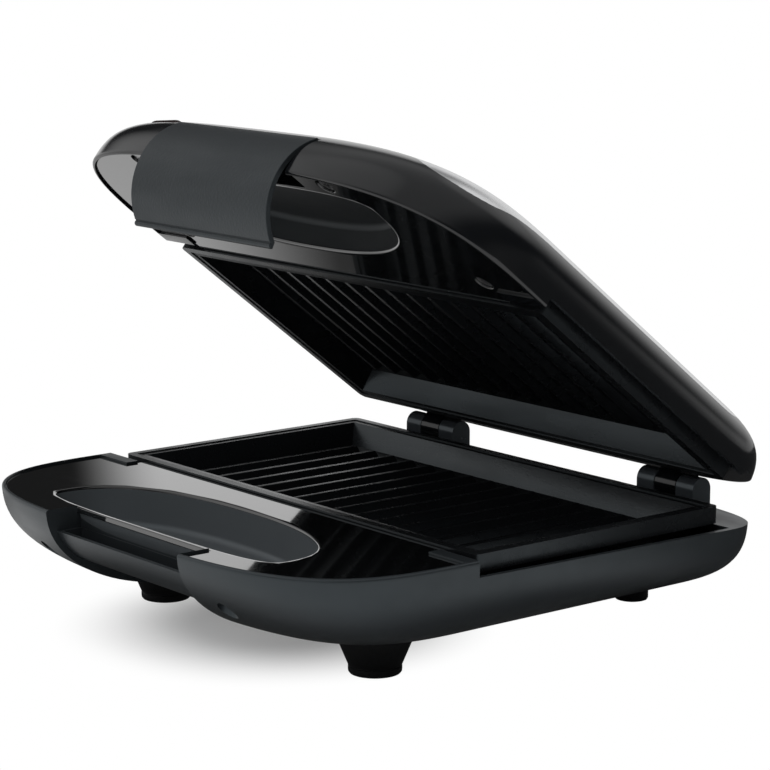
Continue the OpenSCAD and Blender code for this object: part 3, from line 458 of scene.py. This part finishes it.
def clip_tool():
    """The room for the clip: a flat behind the nose, its cylinder, and a groove for the barrel."""
    side = [(-FAR, 27), (CUP_FACE, 27), (CUP_FACE, 2 * RIM_Z - LEDGE_Z)]
    side += arc(NOSE, NOSE_R, 180 - LEDGE_TURN, CLIP_START, 16)
    side += [slope_point(NOSE, 0.4, NOSE_R), slope_point(NOSE, 0.4, 150), (-FAR, 190)]
    return carve(prism(side, NOTCH), ("UNION", rod(5.0, (-NOTCH, *LATCH), (NOTCH, *LATCH))))


def lid_side_tool():
    """Lifts the lid's lower edge beside and behind the plates, in two steps."""
    low, high = RIM_Z + SIDE_STEP, RIM_Z + REAR_STEP
    return prism([(BLOCK_Y, 0), (BLOCK_Y, low), (REAR_FROM, low), (REAR_FROM, high), (FAR, high), (FAR, 0)], FAR)


def cover_tool(grow):
    """The steel cover's outline: a bowed front edge and four round corners."""
    w, shoulder = COVER_HALF, COVER_CORNER - COVER_FRONT - COVER_BOW
    line = [(w * i / 12, -grow - COVER_FRONT - COVER_BOW * i * i / 144) for i in range(-12, 13)]
    corners = ((w, shoulder, -90), (w, COVER_REAR - COVER_CORNER, 0),
               (-w, COVER_REAR - COVER_CORNER, 90), (-w, shoulder, 180))
    for cx, cy, start in corners:
        turns = [math.radians(start + 90 * i / 12) for i in range(13)]
        line += [(cx + (COVER_CORNER + grow) * math.cos(a), cy + (COVER_CORNER + grow) * math.sin(a)) for a in turns]
    bm = bmesh.new()
    face = bm.faces.new([bm.verts.new((x, y, RIM_Z + 12)) for x, y in line])
    push(bm, face, (0, 0, 60))
    bmesh.ops.remove_doubles(bm, verts=bm.verts, dist=0.01)
    bmesh.ops.recalc_face_normals(bm, faces=bm.faces)
    return bm


def spin_line(line, axis, steps_round, lay):
    """Spins a line of points (reach, place on the axis) about X or Z, with its seam closed."""
    bm = bmesh.new()
    verts = [bm.verts.new(lay(*point)) for point in line]
    edges = [bm.edges.new(pair) for pair in zip(verts, verts[1:])]
    bmesh.ops.spin(bm, geom=verts + edges, cent=(0, 0, 0), axis=axis, angle=math.tau, steps=steps_round, use_merge=True)
    bmesh.ops.remove_doubles(bm, verts=bm.verts, dist=0.001)
    bmesh.ops.recalc_face_normals(bm, faces=bm.faces)
    return bm


def lens_bar(radius, length):
    """A bar with round ends, laid in the nose where the lamps shine out."""
    half = length / 2 - radius
    turns = [math.radians(a) for a in range(0, 91, 10)]
    line = [(radius * math.sin(a), -half - radius * math.cos(a)) for a in turns]
    line += [(radius * math.cos(a), half + radius * math.sin(a)) for a in turns]
    bm = spin_line(line, (1, 0, 0), 40, lambda r, x: (x, r, 0))
    bm.transform(Matrix.Translation(LENS_AT) @ Matrix.Rotation(math.radians(LENS_TURN), 4, "Z"))
    return bm


# %% Carve and round the lid housing
def lid_housing():
    bay = carve(lid_form(inset=WALL, under=5),
                ("INTERSECT", box((-PAST, BLOCK_Y + WALL, 0), (PAST, BAY_BACK, 120))))
    cuts = [("DIFFERENCE", bay),
            ("DIFFERENCE", deck_tool(lid_ring, RIM_EDGE - 0.2, LID_RIM - 10, 13.2, 0.2)),
            ("DIFFERENCE", pocket_tool(SKIN, LID_POCKET + SKIN, 1, LID_DECK, 1)),
            ("DIFFERENCE", lid_side_tool())]
    for side in (-1, 1):
        barrel = prism(knuckle(RIM_Z + BARREL_ROOT, 180, 360), BARREL_W / 2, side * HINGE_X - BARREL_W / 2)
        cuts.append(("UNION", barrel))
    cuts += [("DIFFERENCE", clip_tool()),
             ("DIFFERENCE", carve(cover_tool(0.15), ("DIFFERENCE", lid_form(inset=COVER_T, under=10)))),
             ("DIFFERENCE", lens_bar(4.05, 24.1))]
    return carve(lid_form(round_edge=1.2), *cuts)


lid_body = place("lid_housing", lid_housing(), TO_LID, "lid", "lid_shell")
soften(lid_body, 0.4)

# %% [markdown]
# ## Steel cover, lens and clip
# The cover is thin pressed steel that follows the crown, so it is the crown's own form, kept 0.8 mm
# thick inside the outline. The clip is one profile pushed across the nose and then rounded: an arc
# about the nose, the barrel for its pin at the upper end, and a small rolled bead at the free end.

# %% Cover, lens and clip
cover_bm = carve(lid_form(), ("DIFFERENCE", lid_form(inset=COVER_T, under=10)), ("INTERSECT", cover_tool(0.0)))
cover = place("steel_cover", cover_bm, TO_LID, "lid", "lid_top_cover")
soften(cover, 0.35)
lens = place("lamp_window", lens_bar(4.0, 24.0), TO_LID, "lid", "lamp_lens", smooth=60)

CLIP_OUT, CLIP_IN, CLIP_HALF = 28.6, 26.4, 45.6
OUT_END, IN_START, IN_END = 237.2, 148.2, 240
PIN_BARREL, PIN_HOLE, BEAD_R, BEAD_REACH, BEAD_TURN = 3.0, 1.55, 1.25, 28.3, 241


def clip_bm():
    turns = [math.radians(a) for a in range(0, -181, -12)]
    barrel = [slope_point(LATCH, PIN_BARREL * math.cos(a), PIN_BARREL * math.sin(a)) for a in turns]
    free_end = arc(NOSE, BEAD_REACH, BEAD_TURN, BEAD_TURN, 1)[0]
    bead = arc(free_end, BEAD_R, 330, 150, 10)
    side = arc(NOSE, CLIP_OUT, OUT_END, CLIP_START, 58) + barrel + arc(NOSE, CLIP_IN, IN_START, IN_END, 54) + bead
    return carve(prism(side, CLIP_HALF), ("DIFFERENCE", rod(PIN_HOLE, (-60, *LATCH), (60, *LATCH), 24)))


clip = place("grained_clip", clip_bm(), TO_LID, "latch", "latch_clip")
soften(clip, 0.7, 3)

# %% [markdown]
# ## Coated plates
# The castings come from the CAD nodes themselves, because their ribs already have the right draft. A
# copy is merged into one skin and its flats are dissolved, so that every crest can be rounded.

# %% Castings with rounded ribs
def cast_copy(node, name, body):
    bm = bmesh.new()
    bm.from_mesh(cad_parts[node].data)
    bmesh.ops.remove_doubles(bm, verts=bm.verts, dist=0.00001)
    bmesh.ops.dissolve_limit(bm, angle_limit=math.radians(1.0), verts=bm.verts, edges=bm.edges)
    return soften(place(name, bm, Matrix.Identity(4), body, node), 0.45, angle=25)


base_grill = cast_copy("base_plate", "base_grill", "base")
lid_grill = cast_copy("lid_plate", "lid_grill", "lid")

# %% [markdown]
# ## Feet
# Turned shapes are a spun profile. Each front foot is a cone that widens towards the housing and
# stands on a rounded rubber pad, and each rear foot is a plain post.

# %% Turned feet, as (radius, height)
FRONT_FOOT = [(0, 0), (9.2, 0), (10.0, 0.25), (10.5, 0.9), (10.6, 1.6), (10.6, 3.0), (10.3, 3.3),
              (10.3, 3.6), (10.75, 3.9), (15.9, 16.3), (16.0, 17.3), (9.7, 18.5), (0, 18.5)]
REAR_FOOT = [(0, 0), (6.0, 0), (6.8, 0.25), (7.15, 0.9), (7.2, 1.8), (7.2, 26.9), (0, 26.9)]


def foot(line, x, y):
    bm = spin_line(line, (0, 0, 1), 64, lambda r, z: (r, 0, z))
    bm.transform(Matrix.Translation((x, y, 0)))
    return bm


def pair_of(line, x, y):
    """Two feet in one mesh, the same distance from the middle."""
    bm = foot(line, x, y)
    twin = foot(line, -x, y)
    other = bpy.data.meshes.new("other foot")
    twin.to_mesh(other)
    twin.free()
    bm.from_mesh(other)
    bpy.data.meshes.remove(other)
    return bm


fore = place("front_cone_feet", pair_of(FRONT_FOOT, 71.5, -76), TO_BASE, "base", "front_feet", smooth=40)
aft = place("rear_post_feet", pair_of(REAR_FOOT, 55, 78), TO_BASE, "base", "rear_feet", smooth=40)

# %% [markdown]
# ## Shared surface effects
# Fine moulding grain, handling marks and small changes of tone appear on many finishes. Each is a node
# group with its own inputs, so one recipe serves plastic, coating and steel at different scales.

# %% Helpers for node trees
def new_group(name, inputs, outputs):
    tree = bpy.data.node_groups.new(name, "ShaderNodeTree")
    for label, kind, value in inputs:
        tree.interface.new_socket(label, in_out="INPUT", socket_type=kind).default_value = value
    for label, kind in outputs:
        tree.interface.new_socket(label, in_out="OUTPUT", socket_type=kind)
    return tree, tree.nodes.new("NodeGroupInput"), tree.nodes.new("NodeGroupOutput")


def add(tree, kind, **values):
    """A new node, with its settings and its sockets given by name."""
    node = tree.nodes.new("ShaderNode" + kind)
    for key, value in values.items():
        if key in ("operation", "feature", "data_type"):
            setattr(node, key, value)
        else:
            node.inputs[key.replace("_", " ")].default_value = value
    return node


# %% Node groups
FLOAT, COLOR = "NodeSocketFloat", "NodeSocketColor"


def mould_grain():
    """Spark-eroded grain: small cells broken up by noise, as a height."""
    tree, start, end = new_group("mould grain", [("Scale", FLOAT, 900.0)], [("Height", FLOAT)])
    where = add(tree, "TexCoord")
    cells = add(tree, "TexVoronoi", feature="SMOOTH_F1")
    cells.inputs["Smoothness"].default_value = 0.7
    noise = add(tree, "TexNoise", Detail=3.0)
    mix = add(tree, "Math", operation="MULTIPLY_ADD")
    for pattern in (cells, noise):
        tree.links.new(where.outputs["Object"], pattern.inputs["Vector"])
        tree.links.new(start.outputs["Scale"], pattern.inputs["Scale"])
    tree.links.new(cells.outputs["Distance"], mix.inputs[0])
    mix.inputs[1].default_value = 0.7
    tree.links.new(noise.outputs["Fac"], mix.inputs[2])
    tree.links.new(mix.outputs[0], end.inputs["Height"])
    return tree


def handling():
    """Slow cloudy change of roughness, where hands and cloths have been."""
    inputs = [("Scale", FLOAT, 22.0), ("Clean", FLOAT, 0.1), ("Touched", FLOAT, 0.2)]
    tree, start, end = new_group("handling marks", inputs, [("Roughness", FLOAT)])
    where = add(tree, "TexCoord")
    cloud = add(tree, "TexNoise", Detail=5.0, Distortion=0.6)
    streak = add(tree, "TexNoise", Detail=2.0)
    stretch = add(tree, "Mapping", Scale=(1.0, 6.0, 6.0))
    tree.links.new(where.outputs["Object"], stretch.inputs["Vector"])
    tree.links.new(where.outputs["Object"], cloud.inputs["Vector"])
    tree.links.new(stretch.outputs["Vector"], streak.inputs["Vector"])
    both = add(tree, "Math", operation="MULTIPLY")
    for slot, pattern in enumerate((cloud, streak)):
        tree.links.new(start.outputs["Scale"], pattern.inputs["Scale"])
        tree.links.new(pattern.outputs["Fac"], both.inputs[slot])
    spread = add(tree, "MapRange", From_Min=0.16, From_Max=0.36)
    out = add(tree, "MapRange")
    tree.links.new(both.outputs[0], spread.inputs["Value"])
    tree.links.new(spread.outputs["Result"], out.inputs["Value"])
    tree.links.new(start.outputs["Clean"], out.inputs["To Min"])
    tree.links.new(start.outputs["Touched"], out.inputs["To Max"])
    tree.links.new(out.outputs["Result"], end.inputs["Roughness"])
    return tree


def two_tones():
    """Blends two colours by cloudy noise, for the small changes of tone in any real finish."""
    inputs = [("Scale", FLOAT, 30.0), ("First", COLOR, (0, 0, 0, 1)), ("Second", COLOR, (1, 1, 1, 1))]
    tree, start, end = new_group("two tones", inputs, [("Color", COLOR)])
    where = add(tree, "TexCoord")
    noise = add(tree, "TexNoise", Detail=4.0, Roughness=0.6)
    mix = add(tree, "Mix", data_type="RGBA")
    tree.links.new(where.outputs["Object"], noise.inputs["Vector"])
    tree.links.new(start.outputs["Scale"], noise.inputs["Scale"])
    tree.links.new(noise.outputs["Fac"], mix.inputs["Factor"])
    tree.links.new(start.outputs["First"], mix.inputs[6])
    tree.links.new(start.outputs["Second"], mix.inputs[7])
    tree.links.new(mix.outputs[2], end.inputs["Color"])
    return tree


GRAIN, MARKS, TONES = mould_grain(), handling(), two_tones()
print("node groups:", [g.name for g in bpy.data.node_groups])

# %% [markdown]
# ## Finishes
# A finish is a Principled shader with its constants on its own sockets, fed by the groups only where
# something changes over the surface. Two tones lie close together, and the roughness moves between a
# clean and a touched value. The dark satin plastics reflect a little blue, so they get a cool sheen.

# %% Make a finish
def finish(name, first, second, clean, touched, metal=0.0, coat=0.0, grain=0.0, grain_scale=900.0,
           marks_scale=22.0, spec=0.5, sheen=(1.0, 1.0, 1.0)):
    mat = bpy.data.materials.new(name)
    mat.use_nodes = True
    tree = mat.node_tree
    shader = tree.nodes["Principled BSDF"]
    constants = {"Metallic": metal, "Coat Weight": coat, "Coat Roughness": 0.03,
                 "Specular IOR Level": spec, "Specular Tint": (*sheen, 1)}
    for socket, value in constants.items():
        shader.inputs[socket].default_value = value
    tones = tree.nodes.new("ShaderNodeGroup")
    tones.node_tree = TONES
    tones.inputs["Scale"].default_value = 30.0
    tones.inputs["First"].default_value, tones.inputs["Second"].default_value = (*first, 1), (*second, 1)
    tree.links.new(tones.outputs["Color"], shader.inputs["Base Color"])
    marks = tree.nodes.new("ShaderNodeGroup")
    marks.node_tree = MARKS
    marks.inputs["Scale"].default_value = marks_scale
    marks.inputs["Clean"].default_value, marks.inputs["Touched"].default_value = clean, touched
    tree.links.new(marks.outputs["Roughness"], shader.inputs["Roughness"])
    if grain:
        rough = tree.nodes.new("ShaderNodeGroup")
        rough.node_tree = GRAIN
        rough.inputs["Scale"].default_value = grain_scale
        bump = add(tree, "Bump", Strength=grain, Distance=0.0002)
        tree.links.new(rough.outputs["Height"], bump.inputs["Height"])
        tree.links.new(bump.outputs["Normal"], shader.inputs["Normal"])
    return mat


# %% Plastics, coating and rubber
COOL = (0.80, 0.93, 1.0)
SATIN = finish("satin dark moulding", (0.0125, 0.0145, 0.0160), (0.0155, 0.0177, 0.0194), 0.34, 0.42,
               grain=0.10, grain_scale=1400, sheen=COOL)
# Painted reflection: the base cup is several times lighter than the housing, in place of the pale floor it reflects.
POCKET = finish("pocket satin", (0.055, 0.061, 0.066), (0.060, 0.067, 0.072), 0.38, 0.46, spec=0.35, sheen=COOL)
LID_CUP = finish("lid pocket satin", (0.0095, 0.0104, 0.0110), (0.0115, 0.0125, 0.0132), 0.42, 0.50,
                 spec=0.2, sheen=COOL)
# Painted highlight: the knuckles get a lighter colour than the housing they are moulded with, in place of their
# highlights.
KNUCKLE = finish("hinge black with painted highlight", (0.030, 0.034, 0.038), (0.034, 0.038, 0.043), 0.22, 0.30, sheen=COOL)
PIANO = finish("piano black", (0.0022, 0.0024, 0.0026), (0.0030, 0.0032, 0.0034), 0.03, 0.07, coat=1.0)
LID_BLACK = finish("gloss black moulding", (0.0036, 0.0041, 0.0048), (0.0046, 0.0051, 0.0058), 0.10, 0.16)
LEATHER = finish("grained clip", (0.0085, 0.0098, 0.0108), (0.0110, 0.0125, 0.0137), 0.38, 0.48,
                 grain=0.35, spec=0.42, sheen=COOL)
COATING = finish("non-stick coating", (0.0040, 0.0044, 0.0050), (0.0065, 0.0070, 0.0078), 0.24, 0.34,
                 grain=0.14, grain_scale=1300, spec=0.42, sheen=COOL)
RUBBER = finish("black rubber", (0.0035, 0.0038, 0.0044), (0.0055, 0.0058, 0.0064), 0.55, 0.7,
                grain=0.3, grain_scale=800, spec=0.3)
SMOKED = finish("smoked lens", (0.006, 0.003, 0.003), (0.010, 0.005, 0.005), 0.25, 0.35, spec=0.1)
AMBER = finish("amber lamp", (0.55, 0.10, 0.02), (0.7, 0.2, 0.04), 0.1, 0.2, coat=0.5)

# %% Metals and ceramic
STEEL = finish("brushed steel", (0.72, 0.73, 0.74), (0.78, 0.78, 0.79), 0.24, 0.28, metal=1.0, marks_scale=60)
ZINC = finish("plated steel", (0.45, 0.45, 0.46), (0.60, 0.60, 0.60), 0.28, 0.45, metal=1.0, marks_scale=120)
SHIELD = finish("aluminised sheet", (0.62, 0.62, 0.61), (0.75, 0.75, 0.74), 0.38, 0.55, metal=1.0, marks_scale=90)
TUBE = finish("oxidised heating tube", (0.10, 0.095, 0.09), (0.20, 0.17, 0.15), 0.45, 0.7, metal=0.8, marks_scale=80)
CERAMIC = finish("glazed ceramic", (0.66, 0.65, 0.60), (0.74, 0.73, 0.69), 0.18, 0.35, marks_scale=80)
print("finishes:", len(bpy.data.materials))

# %% [markdown]
# ## Dressing the pieces
# Each piece wears one finish, apart from three that need a second one by place: the hinge knuckles are
# glossier than the housing they are moulded with and carry a painted highlight as a lighter colour, and the
# cups of the two decks are duller than the decks, the base cup with a painted reflection of the pale floor
# as a lighter colour. The faces are chosen by where they lie when the toaster is shut.

# %% Dress the modelled pieces
WORN = ((housing, SATIN), (base_gloss, PIANO), (lid_gloss, PIANO), (lid_body, LID_BLACK), (cover, STEEL),
        (lens, SMOKED), (clip, LEATHER), (base_grill, COATING), (lid_grill, COATING), (fore, RUBBER), (aft, RUBBER))
for piece, mat in WORN:
    piece.data.materials.clear()
    piece.data.materials.append(mat)


def dress_part(piece, mat, matrix, chosen):
    """Gives a second finish to the faces whose closed place is chosen."""
    piece.data.materials.append(mat)
    back = matrix.inverted()
    for face in piece.data.polygons:
        if chosen(back @ face.center):
            face.material_index = 1


KNUCKLE_LOW, KNUCKLE_REACH, CUP_START = 47.0, 17, 1.2


def on_knuckle(spot):
    near = abs(spot.y - HINGE_Y) < HINGE_R + 0.1
    return spot.z > KNUCKLE_LOW and near and abs(spot.x) > HINGE_X - KNUCKLE_REACH


# The knuckle faces get the lighter finish, a painted highlight.
dress_part(housing, KNUCKLE, TO_BASE, on_knuckle)
# The base cup faces get the lighter finish, a painted reflection of the floor.
dress_part(base_gloss, POCKET, TO_BASE, lambda spot: BASE_DECK - spot.z > CUP_START)
dress_part(lid_gloss, LID_CUP, TO_LID, lambda spot: spot.z - LID_DECK > CUP_START)

# %% Dress the nodes that keep their CAD shape
CARRIED = {"base_heat_shield": SHIELD, "lid_heat_shield": SHIELD, "base_element": TUBE, "lid_element": TUBE,
           "base_plate_screws": ZINC, "base_deck_screws": ZINC, "lid_plate_screws": ZINC, "lid_deck_screws": ZINC,
           "hinge_pins": ZINC, "latch_pin": ZINC, "cord_gland": RUBBER, "terminal_block": CERAMIC,
           "thermostat": ZINC, "thermal_fuse": CERAMIC, "indicator_lamps": AMBER}
for node, mat in CARRIED.items():
    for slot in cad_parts[node].material_slots:
        slot.material = mat
print("carried-over nodes dressed:", len(CARRIED))

# %% [markdown]
# ## Floor, light and camera
# A product photograph on white is a pale floor, a white surround and soft light. The camera sees the
# surround as plain white. Gloss shows it as sheets of white card with darkness between them, which is
# what gives black plastic its shape, and the object itself is lit at a plain level by soft lamps.

# %% Node helpers for the floor and the world
def ramp(tree, source, start, end, low=0.0, high=1.0):
    """A soft step of one value, from low at start to high at end."""
    node = add(tree, "MapRange", From_Min=start, From_Max=end, To_Min=low, To_Max=high)
    node.interpolation_type = "SMOOTHSTEP"
    tree.links.new(source, node.inputs["Value"])
    return node.outputs["Result"]


def combine(tree, kind, *sources):
    """Folds several values into one by the same operation."""
    out = sources[0]
    for other in sources[1:]:
        node = add(tree, "Math", operation=kind)
        tree.links.new(out, node.inputs[0])
        tree.links.new(other, node.inputs[1])
        out = node.outputs[0]
    return out


def vector_math(tree, kind, source, other):
    node = add(tree, "VectorMath", operation=kind)
    node.inputs[1].default_value = other
    tree.links.new(source, node.inputs[0])
    return node.outputs


def along(tree, source, direction):
    """How far a vector points along a direction."""
    return vector_math(tree, "DOT_PRODUCT", source, direction)["Value"]


def mix_by(tree, factor, first, second):
    node = add(tree, "MixShader")
    tree.links.new(factor, node.inputs["Fac"])
    tree.links.new(first.outputs[0], node.inputs[1])
    tree.links.new(second.outputs[0], node.inputs[2])
    return node


# %% [markdown]
# ## White paper
# Away from the object the camera sees the sheet as pure white, and close to it the real paper shows
# with its shadow. In gloss the sheet is not lit but painted as a glow: white in front and far to the left,
# with a painted shadow where it falls off under the object, and painted dark towards the back, where a
# studio is dark. Each ramp takes two distances in metres, and then the strength at each of them.

# %% Floor
floor_bm = bmesh.new()
bmesh.ops.create_grid(floor_bm, x_segments=1, y_segments=1, size=6.0)
floor_mesh = bpy.data.meshes.new("floor")
floor_bm.to_mesh(floor_mesh)
floor_bm.free()
floor = bpy.data.objects.new("floor", floor_mesh)
floor.location = (0, 0, -0.0002)
bpy.context.scene.collection.objects.link(floor)

# %% Paper of the floor
SHADOW_AT, SQUEEZE = (-0.01, -0.035, 0.0), (1.0, 1.25, 0.0)
paper = bpy.data.materials.new("white paper")
paper.use_nodes = True
tree = paper.node_tree
sheet = tree.nodes["Principled BSDF"]
sheet.inputs["Base Color"].default_value = (0.93, 0.93, 0.93, 1)
sheet.inputs["Roughness"].default_value = 0.9
sheet.inputs["Specular IOR Level"].default_value = 0.1
where = add(tree, "TexCoord").outputs["Object"]
from_shadow = vector_math(tree, "DISTANCE", where, SHADOW_AT)["Value"]
from_middle = add(tree, "VectorMath", operation="LENGTH")
tree.links.new(vector_math(tree, "MULTIPLY", where, SQUEEZE)["Vector"], from_middle.inputs[0])
past_shadow = ramp(tree, from_shadow, 0.03, 0.095, 0.25, 1.0)
# Painted shadow: in gloss the sheet falls dark under the object's footprint.
shadow_painted_in_gloss = ramp(tree, from_middle.outputs["Value"], 0.135, 0.22, 0.05, 1.0)
# Painted shade: in gloss the sheet falls dark towards the back.
front_half = ramp(tree, along(tree, where, (-0.5, 1.0, 0.0)), -0.03, 0.06, 1.0, 0.06)
far_left = ramp(tree, along(tree, where, (-1.0, 0.0, 0.0)), 0.17, 0.36, 0.0, 0.65)
painted_floor_in_gloss = combine(tree, "MULTIPLY", shadow_painted_in_gloss, combine(tree, "MAXIMUM", front_half, far_left))
path = add(tree, "LightPath").outputs
white, reflected = add(tree, "Emission"), add(tree, "Emission")
tree.links.new(painted_floor_in_gloss, reflected.inputs["Strength"])
seen = mix_by(tree, combine(tree, "MULTIPLY", path["Is Camera Ray"], past_shadow), sheet, white)
shown = mix_by(tree, path["Is Glossy Ray"], seen, reflected)
tree.links.new(shown.outputs["Shader"], tree.nodes["Material Output"].inputs["Surface"])
floor_mesh.materials.append(paper)
print("floor nodes:", len(tree.nodes))

# %% [markdown]
# ## Surround
# Directions in the world are chosen by their height and by how far they point along a card's middle.
# A white skirting runs round the horizon, one card stands low behind, light falls from overhead, and
# the other cards give the nose, the clip and the front corner their soft highlights.

# %% World, with each card as middle, edge, full and tone
PLAIN, DARK, WHITE = 0.35, 0.02, 1.0
CARDS = [((-0.44, -0.42, 0.79), 0.70, 0.98, 0.9), ((0.04, 0.76, 0.65), 0.85, 0.97, 1.0),
         ((0.35, -0.75, 0.55), 0.80, 0.97, 0.5), ((-0.81, -0.46, 0.35), 0.70, 0.97, 1.0)]
world = bpy.data.worlds.new("studio")
bpy.context.scene.world = world
world.use_nodes = True
tree = world.node_tree
look = add(tree, "TexCoord").outputs["Generated"]
axes = add(tree, "SeparateXYZ")
tree.links.new(look, axes.inputs[0])
x, y, z = axes.outputs
skirting = combine(tree, "MULTIPLY", ramp(tree, z, 0.06, 0.18, 1.0, 0.0), ramp(tree, x, 0.25, 0.65, 1.0, 0.1))
card_behind = combine(tree, "MULTIPLY", ramp(tree, y, 0.52, 0.55), ramp(tree, x, -0.2, 0.4, 1.0, 0.0),
                      ramp(tree, z, 0.28, 0.5, 1.0, 0.0))
overhead = ramp(tree, z, 0.35, 0.75, 0.0, 0.55)
cards = [ramp(tree, along(tree, look, middle), edge, full, 0.0, tone) for middle, edge, full, tone in CARDS]
seen_white = combine(tree, "MAXIMUM", skirting, card_behind, overhead, *cards)
plain, dark, white = [add(tree, "Background", Strength=strength) for strength in (PLAIN, DARK, WHITE)]
path = add(tree, "LightPath").outputs
in_gloss = mix_by(tree, seen_white, dark, white)
lit = mix_by(tree, path["Is Glossy Ray"], plain, in_gloss)
open_rays = combine(tree, "MAXIMUM", path["Is Camera Ray"], path["Is Transmission Ray"])
shown = mix_by(tree, open_rays, lit, white)
tree.links.new(shown.outputs["Shader"], tree.nodes["World Output"].inputs["Surface"])
print("world nodes:", len(tree.nodes))

# %% [markdown]
# ## Lamps
# Three soft boxes light the object. Gloss doesn't show the boxes themselves, because the cards above
# already draw its highlights and a bright square on black plastic would be too hard.

# %% Lamps, as name, place, target, size and power
LAMPS = [("overhead soft box", (0.1, 0.2, 1.6), (0, 0, 0.05), 1.5, 28),
         ("front soft box", (0.7, -1.5, 1.1), (0, 0, 0.05), 0.9, 10),
         ("side soft box", (-1.4, -0.5, 0.9), (0, 0, 0.08), 0.8, 5)]
for name, place_at, look_at, size, watts in LAMPS:
    data = bpy.data.lights.new(name, "AREA")
    data.shape, data.size, data.energy = "SQUARE", size, watts
    ob = bpy.data.objects.new(name, data)
    ob.location = place_at
    ob.rotation_euler = (Vector(look_at) - Vector(place_at)).to_track_quat("-Z", "Y").to_euler()
    ob.visible_glossy = False
    bpy.context.scene.collection.objects.link(ob)
print("lamps:", [lamp[0] for lamp in LAMPS])

# %% [markdown]
# ## Camera
# A long lens from the front right, a little above the rims, as in the photograph. The small shift
# moves the frame and leaves the perspective alone.

# %% Camera
eye = bpy.data.cameras.new("photo camera")
eye.lens, eye.sensor_width = 125.6, 36.0
eye.shift_x, eye.shift_y = 0.0068, 0.0026
eye.clip_start, eye.clip_end = 0.05, 30.0
camera = bpy.data.objects.new("photo camera", eye)
camera.location = (0.8551, -0.6776, 0.2999)
camera.rotation_euler = (math.radians(90 - 10.56), 0, math.radians(51.12))
bpy.context.scene.collection.objects.link(camera)
bpy.context.scene.camera = camera
bpy.context.scene.view_settings.view_transform = "Standard"
print("camera to object, in metres:", round(camera.location.length, 3))
